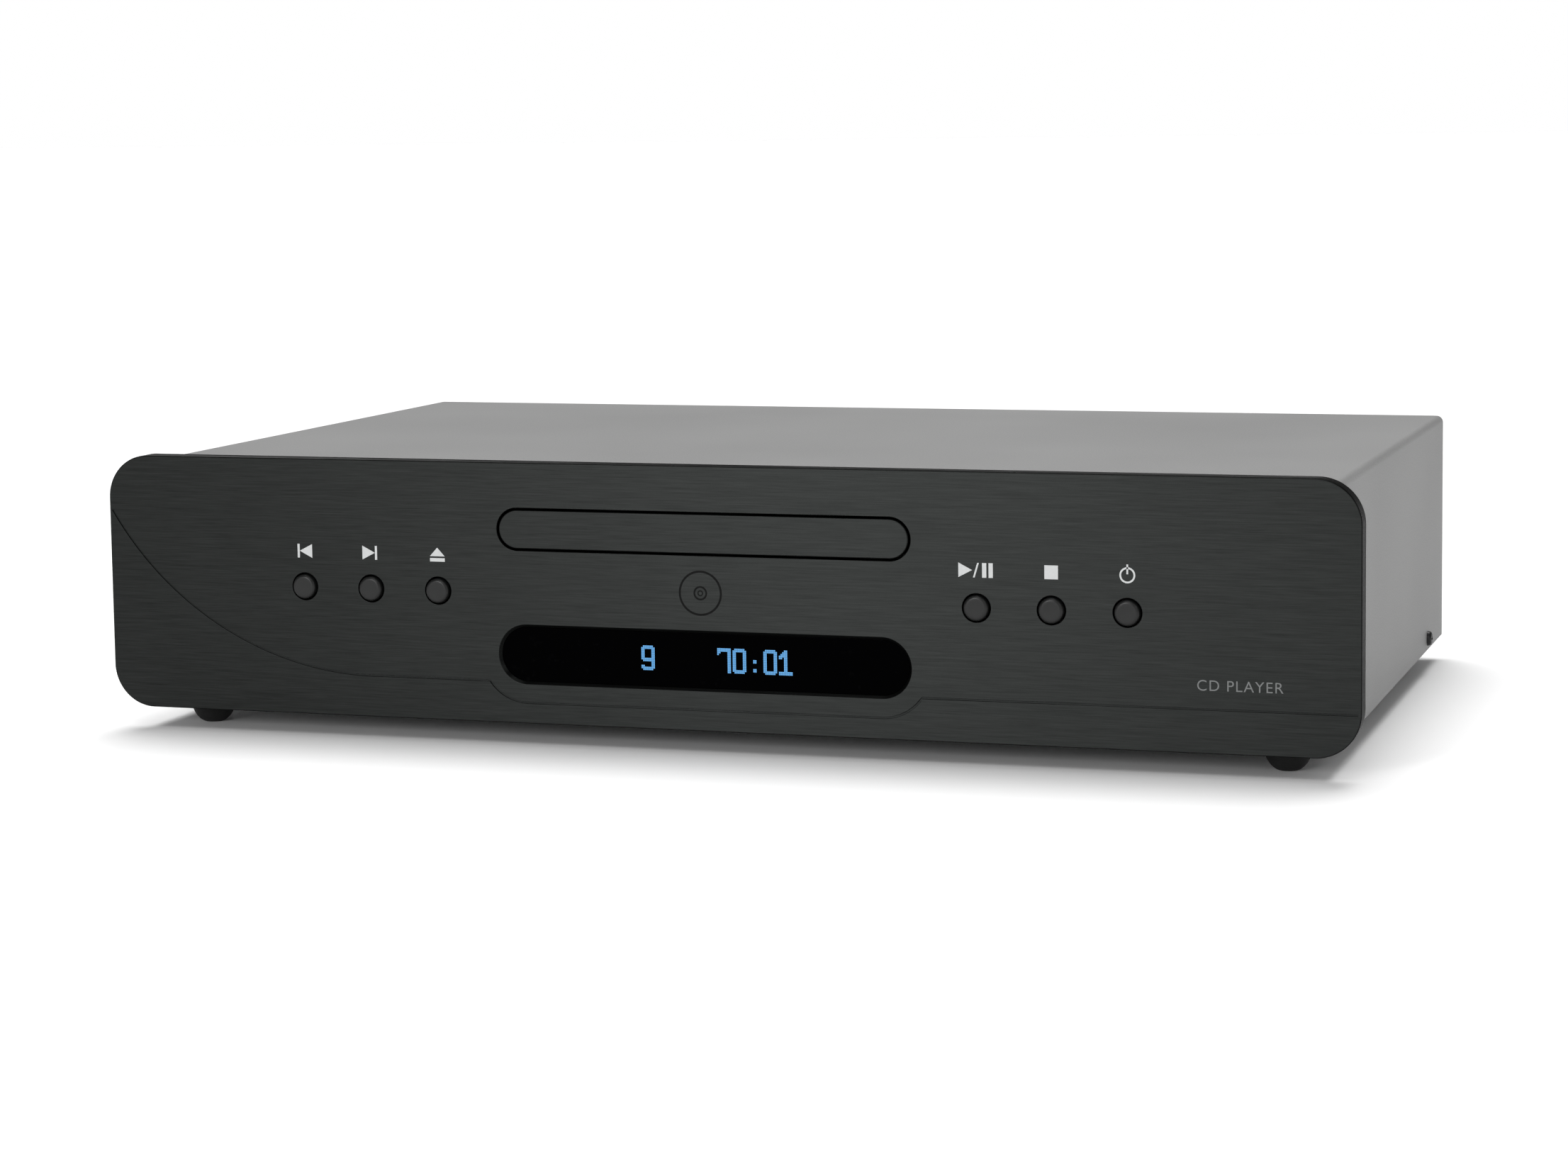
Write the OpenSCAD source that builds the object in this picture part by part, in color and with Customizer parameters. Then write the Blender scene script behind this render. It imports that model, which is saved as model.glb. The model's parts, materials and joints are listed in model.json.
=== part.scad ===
// CD player: a full-width disc player with a front-loading tray.
// X runs to the right, Y to the back and Z up. The origin is on the table, under the middle of the case.

/* [Front panel] */
// Width of the front panel
panel_w = 440; // [436:1:446]
// Height of the front panel
panel_h = 89; // [88:0.5:92]
// Thickness of the front panel
panel_t = 8; // [7:0.5:8]
// Radius of the front panel's corners
panel_r = 15; // [8:1:18]
// Width of the engraved line
line_w = 0.7; // [0.4:0.1:1]
// Depth of the engraved line
line_d = 0.5; // [0.3:0.1:1]

/* [Case] */
// Width of the steel case
case_w = 421; // [419:1:424]
// Depth from the front face to the back of the cover
case_d = 266; // [266:1:280]
// Height that the panel stands above the cover
panel_rise = 2.8; // [2:0.2:3.6]
// Thickness of the sheet metal
sheet = 1.5; // [1.2:0.1:1.5]
// Height of the feet below the front panel
foot_h = 8; // [7.5:0.5:10]
// Distance that the rear jacks stand out of the cover
jack_out = 10; // [9:0.5:12]

/* [Tray] */
// Width of the tray door
door_w = 144.4; // [143:0.2:144.6]
// Height of the tray door
door_h = 13.2; // [12.8:0.1:13.4]
// Gap round the tray door
door_gap = 0.7; // [0.5:0.1:1]
// Distance that the tray opens
tray_travel = 132; // [128:1:132]
// Radius of the disc recess
disc_r = 60.5; // [60.2:0.1:60.8]

/* [Display] */
// Width of the display window's opening
window_w = 146; // [140:1:148]
// Height of the display window's opening
window_h = 20.5; // [19:0.5:21]
// Width of the bevel round the display window
bevel = 0.9; // [0.8:0.1:1.5]

/* [Buttons] */
// Distance between neighbouring buttons
button_pitch = 25; // [22:0.5:26]
// Distance from the middle of the panel to the nearest button
button_x = 95; // [92:1:98]
// Radius of a button cap
button_r = 4.25; // [4:0.05:4.3]
// Radius of a button's hole
button_hole_r = 4.75; // [4.7:0.05:5]
// Distance that a button stands out of the front panel
button_proud = 1.4; // [1:0.1:1.6]

/* [Hidden] */
$fn = 48;
e = 0.5;                                    // how far a cut runs past a face

// Main levels and faces
depth = button_proud + case_d + jack_out;
y0 = button_proud - depth / 2;              // front face
yb = y0 + case_d;                           // back face of the cover
z0 = foot_h;                                // lower edge of the front panel
case_top = z0 + panel_h - panel_rise;
case_bottom = z0 + 1.2;
floor_z = case_bottom + 0.3 + sheet;        // upper face of the chassis floor
inner_x = case_w / 2 - sheet - 0.1;         // half width inside the cover
rear_y = yb - 2 * sheet;                    // inner face of the rear panel
sub_y = y0 + panel_t;                       // front face of the sub-plate
sub_t = 1.2;

// Heights on the front panel
slot_z = z0 + 66.4;
button_z = z0 + 44.6;
window_z = z0 + 23.7;
line_z = z0 + 14.3;
line_low_z = z0 + 7.1;

// Loading mechanism. Levels follow the tray door, depths follow the front face.
spin_y = y0 + 70.5;                         // axis of the turntable
tray_x = 66;
tray_top = slot_z + 4.6;
tray_under = slot_z - 0.4;
rail_z = slot_z - 4.4;
tray_floor = slot_z + 2.1;
loader_z = slot_z - 34.4;                   // underside of the loader's base
loader_t = 2.5;
wall_x = [69, 72];
wall_top = slot_z + 7.6;
gear_y = y0 + 24;
tray_y = [y0 + 5, gear_y + tray_travel + 18];
gear_x = -34;                               // axis of the tray gear
pulley_x = -18;                             // axis of the pulley gear
motor_x = 24;                               // axis of the loading motor
motor_y = y0 + 25;
rack_mod = 1;
rack_teeth = 20;
mesh_mod = 0.8;
wheel_teeth = 28;
pinion_teeth = 12;
pulley_r = 12.5;
motor_pulley_r = 3;
belt_t = 1.2;
belt_z = slot_z - 12.6;                     // middle of the belt
pivot_y = y0 + 180;                         // hinge of the lift frame
pivot_z = slot_z - 25.9;
lift_x = 57;
cam_pin_x = -30;
cam_y = [y0 + 33, y0 + 35];
cam_travel = 14;
lift_angle = 4;
cam_drop = (pivot_y - (cam_y[0] + cam_y[1]) / 2) * sin(lift_angle);
deck_z = [slot_z - 20.4, slot_z - 18.9];
rod_x = 26;
rod_z = slot_z - 12.4;
screw_x = 37;
sled_y = [y0 + 84.5, y0 + 108.5];
lens_y = y0 + 94.5;
table_z = slot_z + 3.1;                     // face that the disc lies on

// Boards and rear panel
board_t = 1.6;
board_z = floor_z + 8;
jack_z = z0 + 27;
inlet_x = -168;
inlet_z = z0 + 34;
rocker_x = -116;
jack_x = [182, 158];
coax_x = 132;
optical_x = 111;
trigger_x = 92;
toroid = [-146, y0 + 118];
foot_pos = [for (x = [-193, 193], y = [y0 + 22, yb - 32]) [x, y]];
post_pos = [for (x = [-65.5, 65.5], y = [y0 + 24, y0 + 192]) [x, y]];
bridge_pos = [for (x = [-73, 73], y = [y0 + 50, y0 + 91]) [x, y]];
mount_pos = [for (x = [-50, 50], y = [y0 + 52, y0 + 164]) [x, y]];
main_board_x = [16, 204];
main_board_y = [y0 + 60, y0 + 182];
audio_board_x = [76, 204];
audio_board_y = [y0 + 200, rear_y - 1];
power_board_x = [-203, -92];
power_board_y = [y0 + 182, y0 + 236];

// ---- Helpers: every one takes its limits as [low, high] pairs ----

module slab(x, y, z) {
    translate([x[0], y[0], z[0]]) cube([x[1] - x[0], y[1] - y[0], z[1] - z[0]]);
}
module post(p, z, r, r2 = 0) {
    translate([p[0], p[1], z[0]]) cylinder(h = z[1] - z[0], r1 = r, r2 = r2 > 0 ? r2 : r);
}
module bar_y(x, z, y, r, r2 = 0) {          // r at the front end, r2 at the back end
    translate([x, y[1], z]) rotate([90, 0, 0]) cylinder(h = y[1] - y[0], r1 = r2 > 0 ? r2 : r, r2 = r);
}
module bar_x(y, z, x, r) {
    translate([x[0], y, z]) rotate([0, 90, 0]) cylinder(h = x[1] - x[0], r = r);
}
module along_y(y, z = 0) {                  // a flat outline in X and Z, given thickness along Y
    translate([0, y[1], z]) rotate([90, 0, 0]) linear_extrude(y[1] - y[0]) children();
}
module along_x(x) {                         // a flat outline in Y and Z, given thickness along X
    translate([x[0], 0, 0]) rotate([90, 0, 90]) linear_extrude(x[1] - x[0]) children();
}
module stadium(w, h) {
    square([w - h, h], center = true);
    for (s = [-1, 1]) translate([s * (w - h) / 2, 0]) circle(h / 2, $fn = 96);
}
module rounded(w, h, r) {
    square([w - 2 * r, h], center = true);
    square([w, h - 2 * r], center = true);
    for (i = [-1, 1], j = [-1, 1]) translate([i * (w / 2 - r), j * (h / 2 - r)]) circle(r, $fn = 96);
}
module arc_band(c, r, w, a) {               // part of a ring of width w between two angles
    reach = 2 * r;
    intersection() {
        translate(c) difference() {
            circle(r + w / 2, $fn = 240);
            circle(r - w / 2, $fn = 240);
        }
        polygon([c, for (t = [a[0], (a[0] + a[1]) / 2, a[1]]) c + reach * [cos(t), sin(t)]]);
    }
}
module screw_down(p, z, r, head_r, shank) { // pan-head screw with its head above z
    post(p, [z, z + 1.1], head_r);
    post(p, [z + 1.1, z + 1.9], head_r, head_r * 0.72);
    post(p, [z - shank, z], r);
}

// ---- Gears: involute teeth, thinned a little for running play ----

play = 0.16;
function involute(a) = tan(a) * 180 / PI - a;
function flank(r, m, n) = let (rp = m * n / 2, rb = rp * cos(20))
    (90 / n - play / rp * 180 / PI) + involute(20) - (r > rb ? involute(acos(rb / r)) : 0);
module gear_outline(m, n, turn = 0) {
    ra = m * n / 2 + 0.9 * m;
    rf = m * n / 2 - 1.2 * m;
    rs = [for (k = [0:5]) rf + (ra - rf) * k / 5];
    rotate(turn) polygon([for (i = [0:n - 1])
        each concat([for (k = [0:5]) let (a = i * 360 / n - flank(rs[k], m, n)) rs[k] * [cos(a), sin(a)]],
            [for (k = [5:-1:0]) let (a = i * 360 / n + flank(rs[k], m, n)) rs[k] * [cos(a), sin(a)]])]);
}
module gear(p, z, m, n, turn = 0) {
    translate([p[0], p[1], z[0]]) linear_extrude(z[1] - z[0]) gear_outline(m, n, turn);
}

// ---- Case ----

module line_outline() {                     // engraved line, dipping under the display window
    big_r = 116;
    dip_r = 16.5;
    bend = asin((line_z - window_z) / dip_r);
    end_x = (window_w - window_h) / 2;
    dip_x = end_x + dip_r * cos(bend);
    sweep = [-120, line_z + big_r];
    arc_band(sweep, big_r, line_w, [198, 270]);
    translate([sweep[0], line_z - line_w / 2]) square([-dip_x - sweep[0], line_w]);
    translate([dip_x, line_z - line_w / 2]) square([panel_w, line_w]);
    arc_band([-end_x, window_z], dip_r + 0.1, line_w, [180 - bend, 270]);
    arc_band([end_x, window_z], dip_r + 0.1, line_w, [270, 360 + bend]);
    translate([-end_x, line_low_z - line_w / 2]) square([2 * end_x, line_w]);
}
module window_bevel() {                     // the window's flared mouth
    half = (window_w - window_h) / 2;
    mouth = window_h / 2;
    along_x([-half, half]) polygon([[y0 - e, window_z - mouth - e], [y0 + bevel, window_z - mouth + bevel],
        [y0 + bevel, window_z + mouth - bevel], [y0 - e, window_z + mouth + e]]);
    for (s = [-1, 1]) bar_y(s * half, window_z, [y0 - e, y0 + bevel], mouth + e, mouth - bevel);
}
module button_places() {
    for (s = [-1, 1], k = [0:2]) translate([s * (button_x + k * button_pitch), 0, 0]) children();
}
module front_panel() color([0.23, 0.235, 0.23]) difference() {
    along_y([y0, sub_y], z0 + panel_h / 2) rounded(panel_w, panel_h, panel_r);
    along_y([y0 - e, sub_y + e], slot_z) stadium(door_w + 2 * door_gap, door_h + 2 * door_gap);
    along_y([y0, sub_y + e], window_z) stadium(window_w - 2 * bevel, window_h - 2 * bevel);
    window_bevel();
    button_places() bar_y(0, button_z, [y0 - e, sub_y + e], button_hole_r);
    along_y([y0 - e, y0 + line_d]) line_outline();
}
module front_subplate() color([0.55, 0.56, 0.57]) difference() {
    slab([-inner_x, inner_x], [sub_y, sub_y + sub_t], [floor_z - sheet, case_top - sheet - 0.3]);
    along_y([sub_y - e, sub_y + sub_t + e], slot_z) stadium(door_w + 2 * door_gap, door_h + 2 * door_gap);
    along_y([sub_y - e, sub_y + sub_t + e], window_z) stadium(window_w, window_h);
    button_places() bar_y(0, button_z, [sub_y - e, sub_y + sub_t + e], button_hole_r);
    for (x = [-190, -100, 100, 190]) bar_y(x, z0 + 74, [sub_y - e, sub_y + sub_t + e], 1.7);
}
module panel_screws() color([0.7, 0.7, 0.68]) for (x = [-190, -100, 100, 190]) {
    bar_y(x, z0 + 74, [sub_y, sub_y + sub_t], 1.5);
    bar_y(x, z0 + 74, [sub_y + sub_t, sub_y + sub_t + 1.8], 2.8, 2.2);
}
module vent_slots(x, y, count) {
    for (k = [0:count - 1]) slab([x + k * 9, x + k * 9 + 4], y, [floor_z - sheet - e, floor_z + e]);
}
module chassis() color([0.6, 0.61, 0.62]) difference() {
    union() {
        slab([-inner_x, inner_x], [sub_y + sub_t + 0.1, rear_y - 0.1], [floor_z - sheet, floor_z]);
        for (s = [-1, 1])
            slab(s > 0 ? [inner_x - sheet, inner_x] : [-inner_x, -inner_x + sheet],
                [sub_y + sub_t + 0.1, rear_y - 0.1], [floor_z - e, floor_z + 15]);
    }
    for (p = foot_pos) post(p, [floor_z - sheet - e, floor_z + e], 1.6);
    for (p = post_pos) post(p, [floor_z - sheet - e, floor_z + e], 1.6);
    post(toroid, [floor_z - sheet - e, floor_z + e], 3.1);
    for (s = [-1, 1]) bar_x(y0 + 225, case_bottom + 4.3, s > 0 ? [inner_x - 3, inner_x + e]
        : [-inner_x - e, -inner_x + 3], 1.6);
    vent_slots(-92, [y0 + 200, y0 + 236], 8);
    vent_slots(90, [y0 + 90, y0 + 126], 10);
}
module cover_outline(w, top, r) {
    translate([-w / 2, case_bottom - (r < 2 ? e : 0)]) square([w, top - r - case_bottom + (r < 2 ? e : 0)]);
    translate([-w / 2 + r, top - r - e]) square([w - 2 * r, r + e]);
    for (s = [-1, 1]) translate([s * (w / 2 - r), top - r]) circle(r);
}
module top_cover() color([0.58, 0.58, 0.57]) difference() {
    union() {
        difference() {
            along_y([sub_y + 0.1, yb]) cover_outline(case_w, case_top, 2.5);
            along_y([sub_y - e, yb + e]) cover_outline(case_w - 2 * sheet, case_top - sheet, 1);
        }
        slab([-inner_x, inner_x], [yb - sheet, yb], [case_top - 10, case_top - 1]);
    }
    for (s = [-1, 1]) bar_x(y0 + 225, case_bottom + 4.3, s > 0 ? [inner_x - e, inner_x + 3]
        : [-inner_x - 3, -inner_x + e], 1.7);
    for (x = [-180, 0, 180]) bar_y(x, case_top - 6, [yb - sheet - e, yb + e], 1.7);
}
module cover_screws() color([0.07, 0.07, 0.07]) {
    for (s = [-1, 1]) translate([s * (case_w / 2), y0 + 225, case_bottom + 4.3]) rotate([0, s * 90, 0]) {
        cylinder(h = 1, r = 2.85);
        translate([0, 0, 1]) cylinder(h = 0.9, r1 = 2.85, r2 = 1.9);
        translate([0, 0, -5]) cylinder(h = 5, r = 1.5);
    }
    for (x = [-180, 0, 180]) {
        bar_y(x, case_top - 6, [yb, yb + 1.8], 2.85, 2.1);
        bar_y(x, case_top - 6, [yb - 6, yb], 1.5);
    }
}
module rear_panel() color([0.12, 0.12, 0.12]) difference() {
    union() {
        slab([-inner_x, inner_x], [rear_y, rear_y + sheet], [floor_z - sheet, case_top - sheet - 0.2]);
        slab([-inner_x + 3, inner_x - 3], [rear_y - 9, rear_y + e], [floor_z + 0.1, floor_z + 0.1 + sheet]);
    }
    slab([inlet_x - 14, inlet_x + 14], [rear_y - e, yb], [inlet_z - 10.2, inlet_z + 10.2]);
    slab([rocker_x - 6.6, rocker_x + 6.6], [rear_y - e, yb], [inlet_z - 9.6, inlet_z + 9.6]);
    for (x = concat(jack_x, [coax_x])) bar_y(x, jack_z, [rear_y - e, yb], 5.2);
    slab([optical_x - 5.2, optical_x + 5.2], [rear_y - e, yb], [jack_z - 5.2, jack_z + 5.2]);
    bar_y(trigger_x, jack_z, [rear_y - e, yb], 4.1);
    for (s = [-1, 1]) bar_y(inlet_x + s * 20, inlet_z, [rear_y - e, yb], 1.6);
    for (x = [-180, 0, 180]) bar_y(x, case_top - 6, [rear_y - e, yb], 1.7);
    for (x = [-60:12:60], z = [z0 + 22, z0 + 52])
        slab([x - 2, x + 2], [rear_y - e, yb], [z, z + 22]);
    for (p = corner_holes(audio_board_x, audio_board_y)) post(p, [floor_z, floor_z + 2 * sheet], 3.2);
}
module feet() color([0.05, 0.05, 0.05]) for (p = foot_pos) difference() {
    ball_r = 7.6;
    ball_z = 6.75;
    intersection() {
        union() {
            translate([p[0], p[1], ball_z]) sphere(ball_r, $fn = 64);
            post(p, [ball_z, floor_z - sheet], ball_r);
        }
        slab([p[0] - 10, p[0] + 10], [p[1] - 10, p[1] + 10], [0, floor_z - sheet]);
    }
    post(p, [3.5, floor_z], 1.5);
}
module foot_screws() color([0.7, 0.7, 0.68]) for (p = foot_pos) screw_down(p, floor_z, 1.45, 2.9, 6);

// ---- Display and buttons ----

module display_window() color([0.02, 0.02, 0.03]) along_y([y0 + bevel + 0.1, sub_y - 0.1], window_z)
    stadium(window_w - 2 * bevel - 0.2, window_h - 2 * bevel - 0.2);
module display_glass() color([0.05, 0.07, 0.1]) {
    slab([-66, 66], [sub_y + 0.6, sub_y + 2.2], [window_z - 8.6, window_z + 8.6]);
    slab([-62, 62], [sub_y + 2.2, sub_y + 3.4], [window_z - 8, window_z + 8]);
}
module display_board() color([0.1, 0.3, 0.16]) difference() {
    union() {
        slab([-80, 80], [sub_y + 3.4, sub_y + 5], [window_z - 14, window_z + 6.6]);
        slab([-40, -14], [sub_y + 5, sub_y + 7.5], [window_z - 8, window_z]);
        slab([28, 48], [sub_y + 5, sub_y + 8.5], [window_z - 12, window_z - 7]);
    }
    for (s = [-1, 1]) bar_y(s * 76, window_z - 4, [sub_y + 3, sub_y + 5.5], 1.6);
}
module button_boards() color([0.1, 0.3, 0.16]) for (s = [-1, 1]) difference() {
    slab(s > 0 ? [82, 158] : [-158, -82], [sub_y + 7.5, sub_y + 9], [button_z - 9, button_z + 9]);
    for (x = [84.6, 155.4]) bar_y(s * x, button_z, [sub_y + 7, sub_y + 9.5], 1.6);
}
module button_switches() color([0.15, 0.15, 0.15]) button_places() {
    slab([-3, 3], [sub_y + 4.6, sub_y + 7.5], [button_z - 3, button_z + 3]);
    bar_y(0, button_z, [sub_y + 3.5, sub_y + 4.6], 1.7);
}
module switch_standoffs() color([0.75, 0.68, 0.4]) {
    for (s = [-1, 1], x = [84.6, 155.4]) {
        bar_y(s * x, button_z, [sub_y + sub_t, sub_y + 7.5], 2.4);
        bar_y(s * x, button_z, [sub_y + 7.5, sub_y + 9], 1.5);
        bar_y(s * x, button_z, [sub_y + 9, sub_y + 10.6], 2.4);
    }
    for (s = [-1, 1]) {
        bar_y(s * 76, window_z - 4, [sub_y + sub_t, sub_y + 3.4], 2.4);
        bar_y(s * 76, window_z - 4, [sub_y + 3.4, sub_y + 5], 1.5);
        bar_y(s * 76, window_z - 4, [sub_y + 5, sub_y + 6.6], 2.4);
    }
}
module button(place) color([0.19, 0.19, 0.2]) {
    x = sign(place) * (button_x + (abs(place) - 1) * button_pitch);
    face_r = button_r - 1;
    collar = button_proud + panel_t + sub_t + 0.3;
    translate([x, y0 - button_proud, button_z]) rotate([-90, 0, 0]) rotate_extrude() polygon(concat(
        [[0, 0], [face_r, 0]],
        [for (a = [15:15:90]) [face_r + sin(a), 1 - cos(a)]],
        [[button_r, collar], [6.1, collar], [6.1, collar + 1], [0, collar + 1]]));
}
module previous_button() button(-3);
module next_button() button(-2);
module eject_button() button(-1);
module play_button() button(1);
module stop_button() button(2);
module power_button() button(3);

// ---- Tray ----

module tray_door() color([0.23, 0.235, 0.23]) along_y([y0, tray_y[0]], slot_z) stadium(door_w, door_h);
module rack_teeth_outline() {
    pitch = PI * rack_mod;
    pitch_x = gear_x - rack_mod * rack_teeth / 2;
    tip = 0.9 * rack_mod;
    root = 1.2 * rack_mod;
    half = pitch / 4 - play;
    first = ceil((tray_y[0] + 4 - gear_y) / pitch);
    last = floor((tray_y[1] - 2 - gear_y) / pitch) - 1;
    for (k = [first:last]) translate([pitch_x, gear_y + (k + 0.5) * pitch]) polygon([
        [-root - e, -half - root * tan(20)], [-root, -half - root * tan(20)], [tip, -half + tip * tan(20)],
        [tip, half - tip * tan(20)], [-root, half + root * tan(20)], [-root - e, half + root * tan(20)]]);
}
module disc_tray() color([0.1, 0.1, 0.11]) {
    rack_back = gear_x - rack_mod * rack_teeth / 2 - 1.2 * rack_mod;
    difference() {
        union() {
            slab([-tray_x, tray_x], tray_y, [tray_under, tray_top]);
            for (s = [-1, 1]) slab(s > 0 ? [60, tray_x] : [-tray_x, -60], tray_y, [rail_z, tray_under + e]);
            slab([-50, 50], [tray_y[0], tray_y[0] + 2.5], [rail_z, tray_under + e]);
        }
        post([0, spin_y], [tray_floor, tray_top + e], disc_r, disc_r + 0.6);
        post([0, spin_y], [tray_floor - 0.9, tray_top + e], 40.6);
        post([0, spin_y], [tray_under - e, tray_top + e], 24);
        slab([-24, 24], [spin_y, tray_y[1] + e], [tray_under - e, tray_top + e]);
        for (s = [-1, 1]) post([s * 40, tray_y[0] + 4], [tray_floor - 0.9, tray_top + e], 13);
    }
    slab([rack_back - 3, rack_back], [tray_y[0] + 2.5, tray_y[1]], [rail_z, tray_under]);
    translate([0, 0, rail_z]) linear_extrude(tray_under - rail_z) rack_teeth_outline();
}

// ---- Loader ----

module loader_frame() color([0.16, 0.16, 0.17]) difference() {
    union() {
        slab([-wall_x[1], wall_x[1]], [y0 + 18, y0 + 198], [loader_z, loader_z + loader_t]);
        for (s = [-1, 1]) {
            slab(s > 0 ? wall_x : [-wall_x[1], -wall_x[0]], [y0 + 11, y0 + 198], [loader_z, wall_top]);
            slab(s > 0 ? [60.5, 69.5] : [-69.5, -60.5], [y0 + 11, y0 + 190], [rail_z - 3, rail_z - 0.4]);
            slab(s > 0 ? [63.5, 69.5] : [-69.5, -63.5], [y0 + 12, y0 + 36], [tray_top + 0.4, tray_top + 2.2]);
            slab(s > 0 ? [60.5, 63.5] : [-63.5, -60.5], [pivot_y - 6, pivot_y + 6],
                [loader_z, pivot_z + 6]);
        }
        for (p = bridge_pos) post(p, [wall_top - 20, wall_top], 3.6);
        post([gear_x, gear_y], [loader_z, slot_z - 15.4], 4);
        post([pulley_x, gear_y], [loader_z, slot_z - 14.8], 4);
        slab([9, 39], [y0 + 12, y0 + 39], [slot_z - 16.9, slot_z - 15.4]);
        for (x = [9, 37.5]) slab([x, x + 1.5], [y0 + 18, y0 + 31], [loader_z, slot_z - 16]);
    }
    slab([-59, 59], [y0 + 32, y0 + 190], [loader_z - e, loader_z + loader_t + e]);
    for (p = post_pos) post(p, [loader_z - e, loader_z + loader_t + e], 1.7);
    for (p = bridge_pos) post(p, [wall_top - 8, wall_top + e], 1.3);
    post([gear_x, gear_y], [loader_z - e, slot_z], 1.9);
    post([pulley_x, gear_y], [loader_z - e, slot_z], 1.9);
    post([motor_x, motor_y], [slot_z - 18, slot_z - 14], 3.2);
    for (s = [-1, 1]) bar_x(pivot_y, pivot_z, s > 0 ? [60, 64] : [-64, -60], 2.05);
}
module loader_posts() color([0.72, 0.72, 0.7]) for (p = post_pos) {
    post(p, [floor_z, loader_z], 3.6);
    screw_down(p, loader_z + loader_t, 1.5, 2.8, loader_t);
    post(p, [floor_z - sheet, floor_z], 1.5);
}
module clamp_bridge() color([0.62, 0.63, 0.64]) difference() {
    union() {
        slab([-77, 77], [y0 + 45, y0 + 96], [wall_top, wall_top + sheet]);
        for (y = [y0 + 45, y0 + 96 - sheet]) slab([-64, 64], [y, y + sheet], [wall_top, wall_top + 5]);
    }
    post([0, spin_y], [wall_top - e, wall_top + sheet + e], 16.2);
    for (p = bridge_pos) post(p, [wall_top - e, wall_top + sheet + e], 1.5);
}
module bridge_screws() color([0.7, 0.7, 0.68]) for (p = bridge_pos)
    screw_down(p, wall_top + sheet, 1.25, 2.4, 7);
module clamp_puck() color([0.12, 0.12, 0.13]) difference() {
    union() {
        post([0, spin_y], [table_z + 0.3, wall_top + sheet + 0.4], 15.6);
        post([0, spin_y], [wall_top + sheet + 0.4, wall_top + sheet + 2.4], 19.5, 18.5);
    }
    post([0, spin_y], [table_z, table_z + 3.2], 8.2);
    post([0, spin_y], [table_z + 4.6, wall_top + sheet + 3], 10);
}
module clamp_magnet() color([0.4, 0.4, 0.42])
    post([0, spin_y], [table_z + 4.6, wall_top + sheet + 1.6], 9.9);
module gear_axles() color([0.78, 0.78, 0.78]) {
    post([gear_x, gear_y], [loader_z, slot_z - 10.6], 1.9);
    post([gear_x, gear_y], [slot_z - 15.4, slot_z - 10.6], 2.4);
    post([gear_x, gear_y], [slot_z - 10.6, slot_z - 0.8], 1.9);
    post([pulley_x, gear_y], [loader_z, slot_z - 6], 1.9);
}
module tray_gear() color([0.85, 0.84, 0.78]) difference() {
    union() {
        gear([gear_x, gear_y], [slot_z - 10.4, slot_z - 7.4], mesh_mod, wheel_teeth);
        gear([gear_x, gear_y], [slot_z - 7.4, slot_z - 1], rack_mod, rack_teeth);
    }
    post([gear_x, gear_y], [slot_z - 11, slot_z], 1.95);
}
module pulley_gear() color([0.85, 0.84, 0.78]) difference() {
    union() {
        post([pulley_x, gear_y], [belt_z - 1.7, belt_z - 0.7], pulley_r, pulley_r - 0.3);
        post([pulley_x, gear_y], [belt_z - 0.7, belt_z + 0.7], pulley_r - 0.6);
        post([pulley_x, gear_y], [belt_z + 0.7, belt_z + 1.7], pulley_r - 0.3, pulley_r);
        gear([pulley_x, gear_y], [belt_z + 1.7, slot_z - 7.6], mesh_mod, pinion_teeth, 180 / pinion_teeth);
    }
    post([pulley_x, gear_y], [belt_z - 3, slot_z], 1.95);
}
module motor_pulley() color([0.8, 0.78, 0.6]) difference() {
    union() {
        post([motor_x, motor_y], [belt_z - 1.7, belt_z - 0.8], motor_pulley_r + 0.9, motor_pulley_r + 0.6);
        post([motor_x, motor_y], [belt_z - 0.8, belt_z + 0.8], motor_pulley_r);
        post([motor_x, motor_y], [belt_z + 0.8, belt_z + 1.7], motor_pulley_r + 0.6, motor_pulley_r + 0.9);
    }
    post([motor_x, motor_y], [belt_z - 3, belt_z + 3], 1.05);
}
module drive_belt() color([0.04, 0.04, 0.04]) {
    big = pulley_r - 0.5;
    small = motor_pulley_r + 0.1;
    run = norm([motor_x - pulley_x, motor_y - gear_y]);
    lean = acos((big - small) / run);
    aim = atan2(motor_y - gear_y, motor_x - pulley_x);
    z = [belt_z - belt_t / 2, belt_z + belt_t / 2];
    difference() {
        union() {
            post([pulley_x, gear_y], z, big + belt_t);
            post([motor_x, motor_y], z, small + belt_t);
            belt_fill(big + belt_t, small + belt_t, lean, aim, z);
        }
        post([pulley_x, gear_y], z + [-e, e], big);
        post([motor_x, motor_y], z + [-e, e], small);
        belt_fill(big, small, lean, aim, z + [-e, e]);
    }
}
module belt_fill(big, small, lean, aim, z) {
    a = [pulley_x, gear_y];
    b = [motor_x, motor_y];
    translate([0, 0, z[0]]) linear_extrude(z[1] - z[0]) polygon([
        a + big * [cos(aim + lean), sin(aim + lean)], a + big * [cos(aim - lean), sin(aim - lean)],
        b + small * [cos(aim - lean), sin(aim - lean)], b + small * [cos(aim + lean), sin(aim + lean)]]);
}
module loading_motor() color([0.7, 0.7, 0.72]) {
    post([motor_x, motor_y], [slot_z - 30.2, slot_z - 16.9], 12);
    post([motor_x, motor_y], [slot_z - 16.9, slot_z - 15.6], 3);
    post([motor_x, motor_y], [slot_z - 31.4, slot_z - 30.2], 3.5);
    post([motor_x, motor_y], [slot_z - 15.6, slot_z - 10.2], 1);
}
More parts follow.
